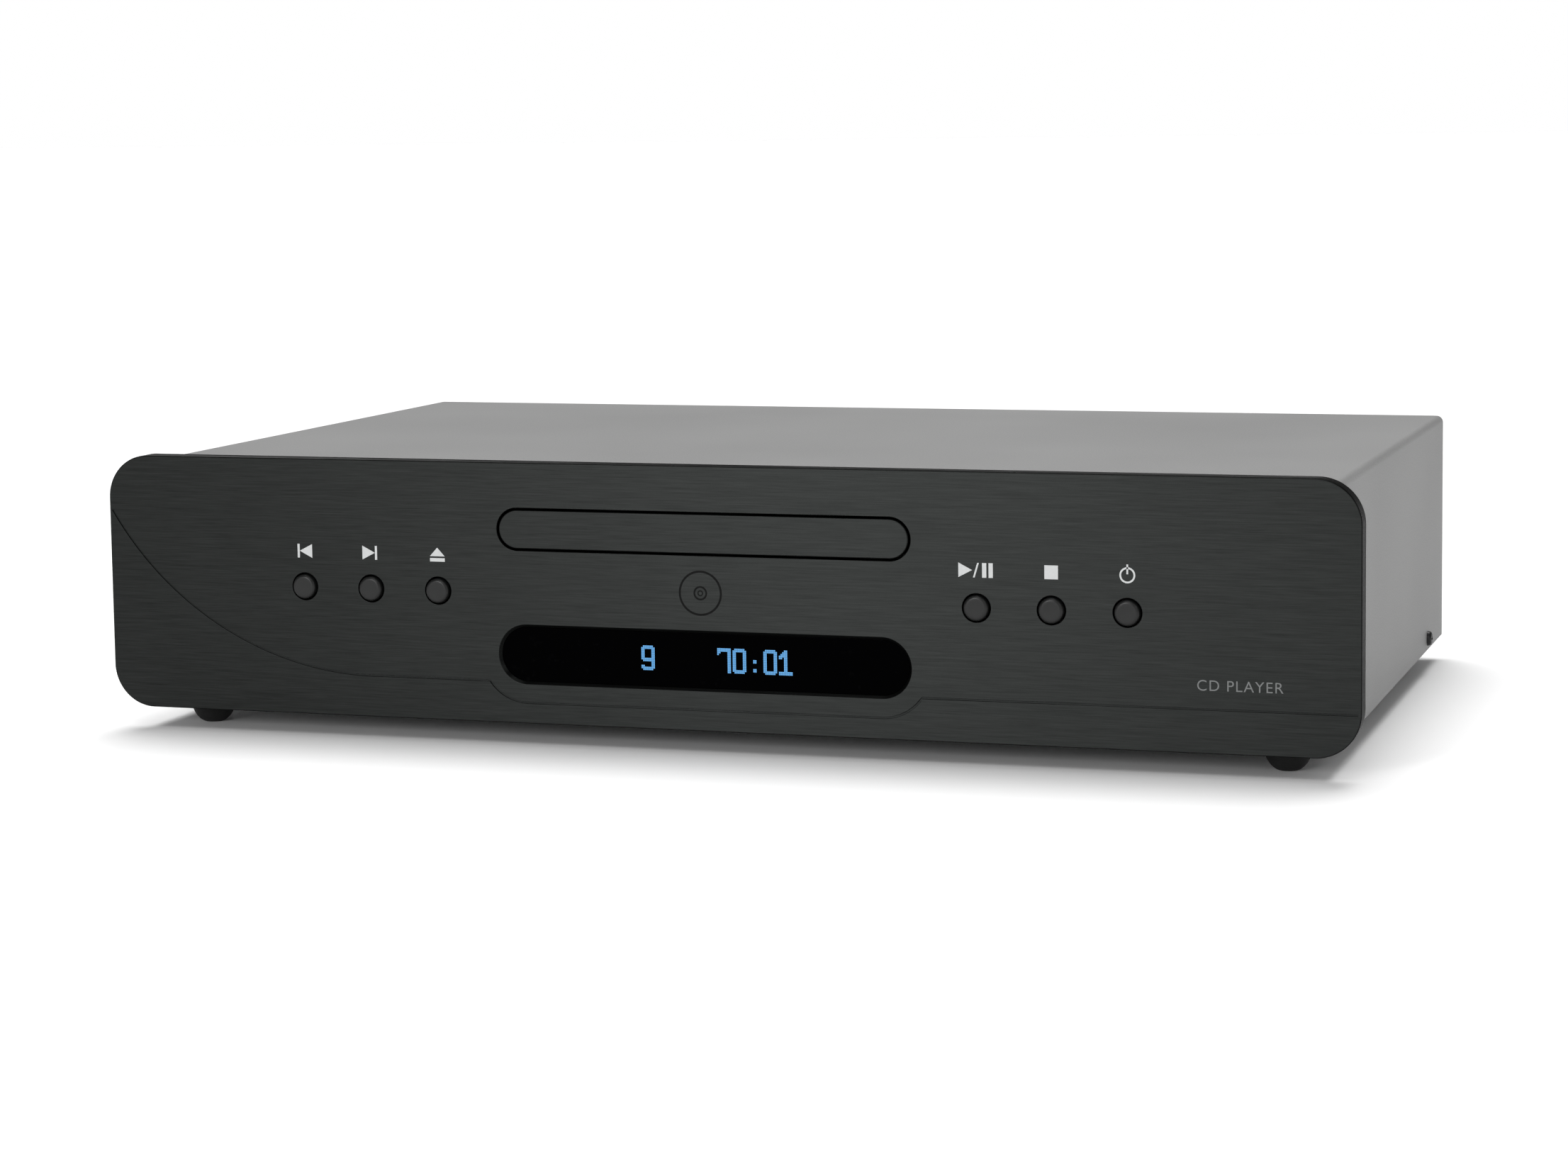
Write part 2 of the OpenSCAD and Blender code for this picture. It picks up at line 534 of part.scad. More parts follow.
module cam_slide() color([0.8, 0.8, 0.74]) difference() {
    union() {
        slab([cam_pin_x - cam_travel - 6, cam_pin_x + 6], cam_y, [pivot_z - cam_drop - 4, pivot_z + 5]);
        slab([cam_pin_x - cam_travel - 6, cam_pin_x + 6], [y0 + 29, cam_y[0] + e],
            [loader_z + loader_t + 0.4, loader_z + loader_t + 2.4]);
    }
    slope = atan2(cam_drop, cam_travel);
    along_y([cam_y[0] - e, cam_y[1] + e]) translate([cam_pin_x, pivot_z]) rotate(180 + slope) {
        translate([0, -1.8]) square([norm([cam_drop, cam_travel]), 3.6]);
        circle(1.8);
        translate([norm([cam_drop, cam_travel]), 0]) circle(1.8);
    }
}

// ---- Lifting deck with the turntable and the pickup ----

module lift_frame() color([0.16, 0.16, 0.17]) {
    difference() {
        slab([-lift_x, lift_x], [y0 + 38, y0 + 186], [pivot_z - 2.5, pivot_z + 2.5]);
        slab([-44, 44], [y0 + 44, y0 + 178], [pivot_z - 3, pivot_z + 3]);
    }
    for (p = mount_pos) post(p, [pivot_z + 2.5 - e, deck_z[1] + 2.4], 1.45);
    for (s = [-1, 1]) bar_x(pivot_y, pivot_z, s > 0 ? [lift_x - e, 63] : [-63, -lift_x + e], 2);
    bar_y(cam_pin_x, pivot_z, [cam_y[0] + 0.2, y0 + 38 + e], 1.5);
}
module deck_mounts() color([0.06, 0.06, 0.06]) for (p = mount_pos) difference() {
    union() {
        post(p, [pivot_z + 2.5, deck_z[0]], 4.2);
        post(p, [deck_z[0] - e, deck_z[1]], 2.4);
        post(p, [deck_z[1], deck_z[1] + 1.2], 4.2);
    }
    post(p, [pivot_z, deck_z[1] + 2], 1.5);
}
module traverse_deck() color([0.66, 0.67, 0.68]) difference() {
    union() {
        slab([-55, 55], [y0 + 44, y0 + 178], deck_z);
        for (x = [-rod_x, rod_x], y = [y0 + 84, y0 + 170])
            slab([x - 3.5, x + 3.5], [y, y + 4], [deck_z[1] - e, rod_z + 3]);
        slab([screw_x - 4, screw_x + 4], [y0 + 92, y0 + 95], [deck_z[1] - e, rod_z + 4]);
        slab([screw_x - 9, screw_x + 9], [y0 + 152, y0 + 153.5], [deck_z[1] - e, rod_z + 8]);
    }
    slab([-21, 21], [y0 + 89, y0 + 148], [deck_z[0] - e, deck_z[1] + e]);
    post([0, spin_y], [deck_z[0] - e, deck_z[1] + e], 5);
    for (p = mount_pos) post(p, [deck_z[0] - e, deck_z[1] + e], 2.5);
    for (x = [-rod_x, rod_x]) bar_y(x, rod_z, [y0 + 82, y0 + 176], 1.5);
    bar_y(screw_x, rod_z, [y0 + 91, y0 + 96], 1.05);
    bar_y(screw_x, rod_z, [y0 + 151, y0 + 155], 2);
}
module spindle_motor() color([0.72, 0.72, 0.74]) difference() {
    union() {
        post([0, spin_y], [deck_z[0] - 8, deck_z[0]], 13);
        post([0, spin_y], [deck_z[0], deck_z[1] + 3], 4.8);
        slab([-9, 9], [spin_y - 22, spin_y - 11], [deck_z[0] - 1.6, deck_z[0]]);
    }
    post([0, spin_y], [deck_z[0] - 6, deck_z[1] + 4], 1.05);
}
module turntable() color([0.14, 0.14, 0.15]) {
    post([0, spin_y], [deck_z[0] - 5.5, deck_z[1] + 4], 1);
    post([0, spin_y], [deck_z[1] + 4, table_z - 2], 5);
    post([0, spin_y], [table_z - 2, table_z], 15);
    post([0, spin_y], [table_z, table_z + 1.2], 7.4);
    post([0, spin_y], [table_z + 1.2, table_z + 2.4], 7.4, 5.6);
}
module guide_rods() color([0.8, 0.8, 0.8]) for (x = [-rod_x, rod_x])
    bar_y(x, rod_z, [y0 + 84, y0 + 174], 1.5);
module pickup_sled() color([0.35, 0.35, 0.37]) difference() {
    union() {
        slab([-18, 18], sled_y, [rod_z - 5, rod_z + 5]);
        for (s = [-1, 1]) slab(s > 0 ? [17, rod_x + 4] : [-rod_x - 4, -17],
            sled_y + (s > 0 ? [4, 0] : [8, -8]), [rod_z - 3.2, rod_z + 3.2]);
        slab([rod_x + 3, screw_x + 3.2], sled_y + [14, -2], [rod_z - 4.6, rod_z - 2.6]);
        slab([-9, 9], sled_y + [2, -6], [rod_z + 4, rod_z + 7.5]);
    }
    for (x = [-rod_x, rod_x]) bar_y(x, rod_z, sled_y + [-e, e], 1.55);
    post([0, lens_y], [rod_z + 5, rod_z + 9], 4.1);
}
module pickup_lens() color([0.4, 0.5, 0.7]) {
    post([0, lens_y], [rod_z + 5, rod_z + 8.6], 4);
    translate([0, lens_y, rod_z + 8.6]) intersection() {
        translate([0, 0, -3]) sphere(4.2, $fn = 40);
        cylinder(h = 3, r = 3);
    }
}
module lead_screw() color([0.78, 0.77, 0.7]) translate([screw_x, y0, rod_z]) rotate([-90, 0, 0]) {
    turn = 3;
    rotate_extrude() polygon(concat([[0, 92.4], [1, 92.4], [1, 96.5]],
        [for (y = [98:turn:143]) each [[2, y], [2, y + 0.9], [1.5, y + 1.4], [1.5, y + 2.4]]],
        [[2, 146], [1, 147], [1, 157], [0, 157]]));
}
module sled_motor() color([0.72, 0.72, 0.74]) difference() {
    union() {
        bar_y(screw_x, rod_z, [y0 + 153.5, y0 + 170], 6.2);
        bar_y(screw_x, rod_z, [y0 + 152, y0 + 153.5], 1.95);
    }
    bar_y(screw_x, rod_z, [y0 + 151, y0 + 158], 1.1);
}

// ---- Power supply and boards ----

module transformer() color([0.75, 0.55, 0.2]) translate([toroid[0], toroid[1], floor_z + 2]) difference() {
    rotate_extrude($fn = 96) translate([16, 0]) {
        translate([5, 0]) square([22, 36]);
        translate([0, 5]) square([32, 26]);
        for (x = [5, 27], y = [5, 31]) translate([x, y]) circle(5, $fn = 32);
    }
    translate([0, 0, -e]) cylinder(h = 40, r = 15.9);
}
module transformer_clamp() color([0.62, 0.62, 0.6]) {
    post(toroid, [floor_z, floor_z + 2], 40);
    post(toroid, [floor_z - sheet, floor_z + 43], 3);
    post(toroid, [floor_z + 38, floor_z + 39.6], 30);
    translate([toroid[0], toroid[1], floor_z + 39.6]) cylinder(h = 3, r = 5.8, $fn = 6);
}
module chips(list) {                        // each entry: x, y, width, depth, height
    for (c = list) slab([c[0] - c[2] / 2, c[0] + c[2] / 2], [c[1] - c[3] / 2, c[1] + c[3] / 2],
        [board_z + board_t - 0.1, board_z + board_t + c[4]]);
}
function corner_holes(x, y) = [for (i = [x[0] + 5, x[1] - 5], j = [y[0] + 5, y[1] - 5]) [i, j]];
module board(x, y) {
    difference() {
        slab(x, y, [board_z, board_z + board_t]);
        for (p = corner_holes(x, y)) post(p, [board_z - e, board_z + board_t + e], 1.7);
    }
}
module main_board() {
    color([0.1, 0.3, 0.16]) board(main_board_x, main_board_y);
    color([0.1, 0.1, 0.1]) chips([[120, y0 + 112, 20, 20, 2], [160, y0 + 92, 14, 14, 2],
        [165, y0 + 132, 10, 18, 2], [130, y0 + 152, 18, 8, 2], [185, y0 + 102, 8, 20, 10]]);
    color([0.9, 0.9, 0.85]) chips([[38, y0 + 65, 22, 5, 7], [190, y0 + 160, 8, 24, 9],
        [90, y0 + 176, 26, 5, 8]]);
}
module power_board() {
    color([0.1, 0.3, 0.16]) board(power_board_x, power_board_y);
    color([0.1, 0.1, 0.1]) chips([[-110, y0 + 222, 14, 10, 18], [-178, y0 + 190, 22, 6, 8]]);
    color([0.85, 0.87, 0.9]) bar_x(y0 + 228, board_z + board_t + 4, [-160, -140], 2.6);
    color([0.9, 0.9, 0.85]) chips([[-162, y0 + 228, 6, 8, 5.5], [-138, y0 + 228, 6, 8, 5.5]]);
}
module smoothing_capacitors() color([0.08, 0.1, 0.3]) {
    top = board_z + board_t;
    for (x = [-183, -157]) post([x, y0 + 206], [top, top + 34], 11);
    for (k = [0:3]) post([110 + k * 16, y0 + 214], [top, top + 16], 5);
    for (k = [0:2]) post([100 + k * 14, y0 + 134], [top, top + 11], 4);
}
module heat_sink() color([0.14, 0.14, 0.15]) {
    top = board_z + board_t;
    slab([-141, -96], [y0 + 200, y0 + 203], [top, top + 34]);
    for (k = [0:8]) slab([-141 + k * 5.4, -139.2 + k * 5.4], [y0 + 190, y0 + 200 + e], [top + 3, top + 34]);
    for (x = [-133, -118.5, -104]) slab([x - 5, x + 5], [y0 + 203, y0 + 207.5], [top + 4, top + 19]);
}
module audio_board() {
    color([0.1, 0.3, 0.16]) board(audio_board_x, audio_board_y);
    color([0.1, 0.1, 0.1]) chips([[150, y0 + 232, 12, 12, 2], [175, y0 + 232, 8, 6, 2],
        [125, y0 + 232, 8, 6, 2], [98, y0 + 226, 10, 16, 12]]);
    color([0.9, 0.9, 0.85]) chips([[178, y0 + 208, 16, 5, 8]]);
}
module board_spacers() color([0.75, 0.68, 0.4]) {
    for (b = [[main_board_x, main_board_y], [power_board_x, power_board_y], [audio_board_x, audio_board_y]])
        for (p = corner_holes(b[0], b[1])) {
            post(p, [floor_z, board_z], 2.6);
            post(p, [board_z, board_z + board_t], 1.6);
            post(p, [board_z + board_t, board_z + board_t + 1.8], 2.8, 2.1);
        }
}

// ---- Rear connections ----

module mains_inlet() {
    out = rear_y + sheet;
    color([0.06, 0.06, 0.06]) difference() {
        union() {
            slab([inlet_x - 25, inlet_x + 25], [out, out + 2.6], [inlet_z - 12, inlet_z + 12]);
            slab([inlet_x - 13.8, inlet_x + 13.8], [out - 19, out + 5], [inlet_z - 10, inlet_z + 10]);
        }
        slab([inlet_x - 12.2, inlet_x + 12.2], [out - 12, out + 6], [inlet_z - 8.2, inlet_z + 8.2]);
        for (s = [-1, 1]) bar_y(inlet_x + s * 20, inlet_z, [out - e, out + 3], 1.7);
    }
    color([0.8, 0.78, 0.7]) for (p = [[-7, -1.5], [7, -1.5], [0, 2.5]])
        slab([inlet_x + p[0] - 1, inlet_x + p[0] + 1], [out - 26, out + 3],
            [inlet_z + p[1] - 2, inlet_z + p[1] + 2]);
    color([0.1, 0.1, 0.1]) for (s = [-1, 1]) {
        bar_y(inlet_x + s * 20, inlet_z, [out - 4, out + 2.6], 1.5);
        bar_y(inlet_x + s * 20, inlet_z, [out + 2.6, out + 4.4], 2.9, 2);
    }
}
module rocker_frame() color([0.06, 0.06, 0.06]) {
    out = rear_y + sheet;
    difference() {
        union() {
            slab([rocker_x - 7.8, rocker_x + 7.8], [out, out + 2], [inlet_z - 10.8, inlet_z + 10.8]);
            slab([rocker_x - 6.4, rocker_x + 6.4], [out - 16, out + e], [inlet_z - 9.4, inlet_z + 9.4]);
        }
        slab([rocker_x - 5.2, rocker_x + 5.2], [out - 9, out + 3], [inlet_z - 8.4, inlet_z + 8.4]);
        bar_x(out - 1, inlet_z, [rocker_x - 6, rocker_x + 6], 1.05);
    }
    for (z = [inlet_z - 5, inlet_z + 5])
        slab([rocker_x - 2.4, rocker_x + 2.4], [out - 24, out - 15.5], [z - 0.4, z + 0.4]);
}
module power_rocker() color([0.05, 0.05, 0.05]) {
    out = rear_y + sheet;
    translate([0, out - 1, inlet_z]) rotate([-9, 0, 0]) along_x([rocker_x - 4.9, rocker_x + 4.9])
        polygon([[-3.5, -3.5], [-3.5, 3.5], [1.5, 7.6], [4.2, 7.6], [3.2, 0], [4.2, -7.6], [1.5, -7.6]]);
    bar_x(out - 1, inlet_z, [rocker_x - 5.9, rocker_x + 5.9], 1);
}
module phono_jack(x, ring) {
    out = rear_y + sheet;
    tip = yb + jack_out;
    top = board_z + board_t;
    color([0.1, 0.1, 0.1]) slab([x - 7, x + 7], [rear_y - 13, rear_y], [top, jack_z + 8]);
    color(ring) bar_y(x, jack_z, [rear_y - e, out + 1.6], 5.1);
    color([0.82, 0.68, 0.35]) difference() {
        bar_y(x, jack_z, [out + 1.6, tip], 4.15);
        bar_y(x, jack_z, [out + 1.6, tip + e], 3.3);
    }
    color([0.9, 0.9, 0.88]) difference() {
        bar_y(x, jack_z, [out + 1.6, tip - 1.5], 3.3);
        bar_y(x, jack_z, [out + 1.6, tip], 1.6);
    }
}
module phono_jacks() {
    phono_jack(jack_x[0], [0.7, 0.08, 0.08]);
    phono_jack(jack_x[1], [0.85, 0.85, 0.83]);
}
module digital_sockets() {
    out = rear_y + sheet;
    top = board_z + board_t;
    phono_jack(coax_x, [0.75, 0.4, 0.08]);
    color([0.08, 0.08, 0.08]) difference() {
        union() {
            slab([optical_x - 5, optical_x + 5], [rear_y - 12, out + 2.4], [jack_z - 5, jack_z + 5]);
            slab([optical_x - 5, optical_x + 5], [rear_y - 12, rear_y - 1], [top, jack_z]);
        }
        slab([optical_x - 3.4, optical_x + 3.4], [rear_y - 7, out + 3], [jack_z - 3.4, jack_z + 3.4]);
    }
    color([0.08, 0.08, 0.08]) difference() {
        union() {
            slab([trigger_x - 5, trigger_x + 5], [rear_y - 14, rear_y], [top, jack_z + 5]);
            bar_y(trigger_x, jack_z, [rear_y - e, out + 2], 4);
        }
        bar_y(trigger_x, jack_z, [rear_y - 12, out + 3], 1.8);
    }
}
module lead(points, r) {                    // harness of square section, along straight runs
    for (i = [0:len(points) - 2]) {
        low = [for (k = [0:2]) min(points[i][k], points[i + 1][k]) - r];
        high = [for (k = [0:2]) max(points[i][k], points[i + 1][k]) + r];
        slab([low[0], high[0]], [low[1], high[1]], [low[2], high[2]]);
    }
}
module wiring() {
    out = rear_y + sheet;
    live_y = out - 32;
    switched_y = out - 36;
    low_z = inlet_z - 5;
    drop_x = -143.5;                        // between the capacitors and the heat sink
    color([0.5, 0.25, 0.1]) lead([[inlet_x - 7, out - 27, inlet_z - 1.5],
        [inlet_x - 7, live_y, inlet_z - 1.5], [inlet_x - 7, live_y, low_z],
        [rocker_x, live_y, low_z], [rocker_x, out - 25, low_z]], 1);
    color([0.1, 0.3, 0.7]) lead([[rocker_x, out - 25, inlet_z + 5], [rocker_x, switched_y, inlet_z + 5],
        [drop_x, switched_y, inlet_z + 5], [drop_x, toroid[1] + 50, inlet_z + 5],
        [drop_x, toroid[1] + 50, floor_z + 20], [drop_x, toroid[1] + 49, floor_z + 20]], 1);
    color([0.75, 0.75, 0.72]) slab([28, 48], [sub_y + 8.5, y0 + 62.5], [window_z - 10, window_z - 9.4]);
}

front_panel();
front_subplate();
panel_screws();
chassis();
top_cover();
rear_panel();
cover_screws();
feet();
foot_screws();
display_window();
display_glass();
display_board();
button_boards();
button_switches();
switch_standoffs();
previous_button();
next_button();
eject_button();
play_button();
stop_button();
power_button();
tray_door();
disc_tray();
loader_frame();
loader_posts();
clamp_bridge();
bridge_screws();
clamp_puck();
clamp_magnet();
gear_axles();
tray_gear();
pulley_gear();
motor_pulley();
drive_belt();
loading_motor();
cam_slide();
lift_frame();
deck_mounts();
traverse_deck();
spindle_motor();
turntable();
guide_rods();
pickup_sled();
pickup_lens();
lead_screw();
sled_motor();
transformer();
transformer_clamp();
main_board();
power_board();
smoothing_capacitors();
heat_sink();
audio_board();
board_spacers();
mains_inlet();
rocker_frame();
power_rocker();
phono_jacks();
digital_sockets();
wiring();
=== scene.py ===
import json
import math

import bmesh
import bpy
import numpy as np
from bpy.props import FloatProperty, FloatVectorProperty, IntProperty, PointerProperty
from mathutils import Euler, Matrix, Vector
from mathutils.geometry import delaunay_2d_cdt


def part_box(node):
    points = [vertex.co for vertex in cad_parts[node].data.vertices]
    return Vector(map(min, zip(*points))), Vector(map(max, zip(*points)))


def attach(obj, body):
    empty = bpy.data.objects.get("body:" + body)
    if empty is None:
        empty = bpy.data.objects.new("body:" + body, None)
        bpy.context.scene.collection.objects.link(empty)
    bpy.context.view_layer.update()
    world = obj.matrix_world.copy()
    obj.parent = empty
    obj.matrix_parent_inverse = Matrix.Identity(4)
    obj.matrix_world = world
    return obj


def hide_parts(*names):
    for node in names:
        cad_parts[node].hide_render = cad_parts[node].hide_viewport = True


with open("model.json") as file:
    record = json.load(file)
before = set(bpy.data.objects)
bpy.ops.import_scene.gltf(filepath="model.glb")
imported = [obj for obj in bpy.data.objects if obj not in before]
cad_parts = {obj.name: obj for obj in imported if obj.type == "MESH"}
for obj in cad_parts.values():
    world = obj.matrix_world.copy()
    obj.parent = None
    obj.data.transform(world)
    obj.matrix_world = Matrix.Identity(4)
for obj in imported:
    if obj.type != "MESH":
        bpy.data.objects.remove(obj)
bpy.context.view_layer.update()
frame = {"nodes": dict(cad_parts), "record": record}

bl_info = {
    "name": "CD Player Looks",
    "version": (1, 0, 0),
    "blender": (4, 5, 0),
    "location": "View3D > Sidebar > Player",
    "description": "Makes the visible pieces and the finishes of a full-width CD player",
    "category": "Object",
}

MM = 0.001
MERGE = 1e-7
PANEL_LOW, PANEL_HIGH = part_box("front_panel")
FACE_Y = PANEL_LOW[1]
PANEL_BACK = PANEL_HIGH[1]
BASE_Z = PANEL_LOW[2]
# Distance from a rounding to the row of points that keeps the flat next to it flat.
SUPPORT = 0.2 * MM
SHEET = 1.5 * MM
COVER_BEND = 2.5 * MM
FOOT_RADIUS = 7.6 * MM
SCREW_RADIUS = 2.85 * MM
LIP_SCREWS = (-180 * MM, 0.0, 180 * MM)
BUTTONS = ("previous_button", "next_button", "eject_button", "play_button", "stop_button", "power_button")


# ---- properties


def length(name, description, millimetres):
    return FloatProperty(name=name, description=description, default=millimetres * MM, unit="LENGTH")


def colour_of(name, description, default):
    return FloatVectorProperty(name=name, description=description, default=default, subtype="COLOR")


class PlayerSizes(bpy.types.PropertyGroup):
    """Small sizes that the frame doesn't hold: roundings, printed marks and the engraved line."""

    panel_corner: length("Panel corner", "Radius of the front panel's corners", 15)
    panel_edge: length("Panel edge", "Rounding of the front panel's edges", 0.35)
    hole_edge: length("Hole edge", "Rounding of the holes in the panel", 0.2)
    slot_gap: length("Slot gap", "Gap round the tray door", 0.7)
    window_bevel: length("Window bevel", "Width of the bevel round the window", 0.9)
    button_hole: length("Button hole", "Radius of a button's hole", 4.75)
    button_cap: length("Button cap", "Radius of a button's cap", 4.25)
    line_width: length("Line width", "Width of the engraved line", 0.55)
    line_depth: length("Line depth", "Depth of the engraved line", 0.4)
    line_height: length("Line height", "Height of the line over the panel's lower edge", 14.3)
    line_dip: length("Line dip", "Height of the line under the window", 7.1)
    line_inset: length("Line inset", "Distance from the panel's sides to the line's ends", 1.1)
    sweep_radius: length("Sweep radius", "Radius of the line's sweep at the left", 116)
    sweep_end: length("Sweep end", "Distance from the panel's left side to where the sweep turns level", 100)
    mark_height: length("Mark height", "Height of the marks over the buttons", 4.8)
    mark_rise: length("Mark rise", "Distance from a button's middle up to its mark", 12.4)
    print_thick: length("Print thickness", "Thickness of printed marks", 0.03)
    dot: length("Display dot", "Distance between the display's dots", 0.6)
    round_steps: IntProperty(
        name="Round steps", description="Points along a quarter of a round outline", default=24, min=8, max=64
    )


class PlayerColours(bpy.types.PropertyGroup):
    """Colours of the main finishes, as linear light."""

    panel: colour_of("Panel", "Anodised front panel", (0.0235, 0.025, 0.0243))
    case: colour_of("Case", "Paint of the cover", (0.2, 0.2, 0.199))
    button: colour_of("Button", "Button caps", (0.0055, 0.0058, 0.0056))
    mark: colour_of("Mark", "Printed marks", (0.5, 0.51, 0.51))
    digits: colour_of("Digits", "Light of the display", (0.14, 0.41, 0.78))


def sizes():
    return bpy.context.scene.player_sizes


def colours():
    return bpy.context.scene.player_colours


# ---- what the frame says


def middle_of(node):
    low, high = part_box(node)
    return tuple((a + b) / 2 for a, b in zip(low, high))


def slot_of(node):
    return next(s["material_slot"] for s in frame["record"]["subparts"] if s["node"] == node)


def body_of(node):
    bodies = frame["record"]["behaviour"]["bodies"]
    return next(name for name, nodes in bodies.items() if node in nodes)


# ---- shader maths


class Term:
    """A socket that takes part in Python expressions; every operation adds one Math node."""

    def __init__(self, kit, socket):
        self.kit = kit
        self.socket = socket

    def _math(self, operation, *inputs):
        return self.kit.add("ShaderNodeMath", {"operation": operation}, dict(enumerate(inputs)))

    def __add__(self, other):
        return self._math("ADD", self, other)

    __radd__ = __add__

    def __sub__(self, other):
        return self._math("SUBTRACT", self, other)

    def __rsub__(self, other):
        return self._math("SUBTRACT", other, self)

    def __mul__(self, other):
        return self._math("MULTIPLY", self, other)

    __rmul__ = __mul__

    def __gt__(self, other):
        return self._math("GREATER_THAN", self, other)

    def __lt__(self, other):
        return self._math("LESS_THAN", self, other)

    def sin(self):
        return self._math("SINE", self)

    def fraction(self):
        return self._math("FRACT", self)

    def clamp(self):
        return self.kit.add("ShaderNodeClamp", {}, {0: self})


class Finish:
    """A material under construction: add() places any node, shade() sets the shader's sockets."""

    def __init__(self, name):
        self.material = bpy.data.materials.new(name)
        self.material.use_nodes = True
        self.tree = self.material.node_tree
        self.shader = self.tree.nodes["Principled BSDF"]

    def add(self, kind, settings, inputs, output=0):
        """Places a node of this type, applies its settings, then its inputs' values or links."""
        node = self.tree.nodes.new(kind)
        for key, value in settings.items():
            if key == "stops":
                self._stops(node.color_ramp, value)
            else:
                setattr(node, key, value)
        for key, value in inputs.items():
            self._feed(node.inputs[key], value)
        return Term(self, node.outputs[output])

    def _feed(self, socket, value):
        if isinstance(value, Term):
            self.tree.links.new(value.socket, socket)
        elif isinstance(value, (tuple, list)) and len(value) == 3 and socket.type == "RGBA":
            socket.default_value = (*value, 1.0)
        else:
            socket.default_value = value

    @staticmethod
    def _stops(ramp, stops):
        while len(ramp.elements) < len(stops):
            ramp.elements.new(0.5)
        for element, (place, level) in zip(ramp.elements, stops):
            element.position = place
            element.color = (level, level, level, 1.0)

    def place(self, scale=(1, 1, 1), move=(0, 0, 0)):
        """Object coordinates, scaled and moved."""
        where = self.add("ShaderNodeTexCoord", {}, {}, "Object")
        return self.add("ShaderNodeMapping", {}, {"Vector": where, "Scale": scale, "Location": move})

    def axes(self, kind="Object"):
        """The three object coordinates, or the three parts of the surface's normal, as separate terms."""
        where = self.add("ShaderNodeTexCoord", {}, {}, kind)
        first = self.add("ShaderNodeSeparateXYZ", {}, {0: where})
        outputs = first.socket.node.outputs
        return tuple(Term(self, outputs[k]) for k in range(3))

    def noise(self, scale, stretch=(1, 1, 1), detail=3.0, rough=0.5, move=(0, 0, 0)):
        return self.add(
            "ShaderNodeTexNoise", {},
            {"Vector": self.place(stretch, move), "Scale": scale, "Detail": detail, "Roughness": rough},
        )

    def ramp(self, factor, stops):
        return self.add("ShaderNodeValToRGB", {"stops": stops}, {0: factor})

    def blend(self, factor, first, second):
        """Colour between first and second."""
        return self.add("ShaderNodeMix", {"data_type": "RGBA"}, {0: factor, 6: first, 7: second}, 2)

    def tint(self, colour, amount):
        """A plain colour made lighter or darker by a term round 1."""
        return self.add("ShaderNodeVectorMath", {"operation": "SCALE"}, {0: tuple(colour), "Scale": amount})

    def bump(self, height, strength, distance):
        return self.add("ShaderNodeBump", {}, {"Height": height, "Strength": strength, "Distance": distance})

    def shade(self, **values):
        """Sets the shader's sockets, under plain names, and gives the finished material."""
        names = {
            "colour": "Base Color", "metal": "Metallic", "rough": "Roughness", "normal": "Normal",
            "coat": "Coat Weight", "specular": "Specular IOR Level", "edge_tint": "Specular Tint",
            "glow": "Emission Color", "glow_strength": "Emission Strength",
            "anisotropy": "Anisotropic", "brush_turn": "Anisotropic Rotation",
        }
        for key, value in values.items():
            self._feed(self.shader.inputs[names[key]], value)
        return self.material


def brushed_metal(name, colour, streak=0.85, rough=0.47, metal=0.9):
    """Anodised metal brushed along X: noise drawn out along X, in two sizes, tints it and lifts its bump,
    and highlights spread across the brushing. What doesn't face the front is cut, not brushed, and smoother;
    there, where the normal's Y part is small, the colour is darkened as painted shade, also in the groove and
    holes."""
    f = Finish(name)
    facing = f.axes("Normal")[1]
    # edge is near 1 on faces turned away from the front; below, it darkens their colour as painted shade.
    edge = f.ramp(facing * facing, [(0.55, 1.0), (0.97, 0.0)])
    fine = f.noise(1.0, (90, 300, 4000), detail=3.0, rough=0.6)
    broad = f.noise(1.0, (60, 60, 1800), detail=3.0, rough=0.6, move=(3, 0, 1))
    cloud = f.noise(14.0, (1, 1, 1), detail=2.0)
    grain = 1 + (fine - 0.5) * streak + (broad - 0.5) * streak * 0.8 + (cloud - 0.5) * 0.08
    normal = f.bump(fine * 0.6 + broad * 0.4, 0.22, 0.00006)
    return f.shade(
        # The 0.3 tint is painted shade: the panel's edges, the groove and the walls of the holes and window
        # mouth are darkened.
        colour=f.blend(edge, f.tint(colour, grain), f.tint(colour, 0.3)),
        metal=metal, rough=(rough + (fine - 0.5) * 0.2 - edge * 0.17).clamp(), normal=normal, specular=0.35,
        anisotropy=0.75, brush_turn=0.25, edge_tint=(0.12, 0.12, 0.12),
    )


def satin_paint(name, colour, grain=0.05, rough=0.5):
    """Sprayed satin paint: a fine even grain in tone and bump, with a faint broad unevenness."""
    f = Finish(name)
    speck = f.noise(1900.0, detail=2.0, rough=0.6)
    broad = f.noise(9.0, detail=2.0)
    tone = 1 + (speck - 0.5) * grain * 3 + (broad - 0.5) * grain
    return f.shade(
        colour=f.tint(colour, tone), metal=0.0, rough=(rough + (speck - 0.5) * 0.12).clamp(),
        normal=f.bump(speck, 0.3, 0.00006), specular=0.3,
    )


def moulded_plastic(name, colour, rough=0.5, grain=0.3, specular=0.45):
    """Moulded plastic: a fine spark-eroded grain and slightly uneven gloss."""
    f = Finish(name)
    pores = f.noise(1900.0, detail=3.0, rough=0.65)
    flow = f.noise(22.0, detail=2.0)
    tone = 0.95 + flow * 0.1
    return f.shade(
        colour=f.tint(colour, tone), rough=(rough + (pores - 0.5) * 0.15 + (flow - 0.5) * 0.1).clamp(),
        normal=f.bump(pores, grain, 0.00003), specular=specular,
    )


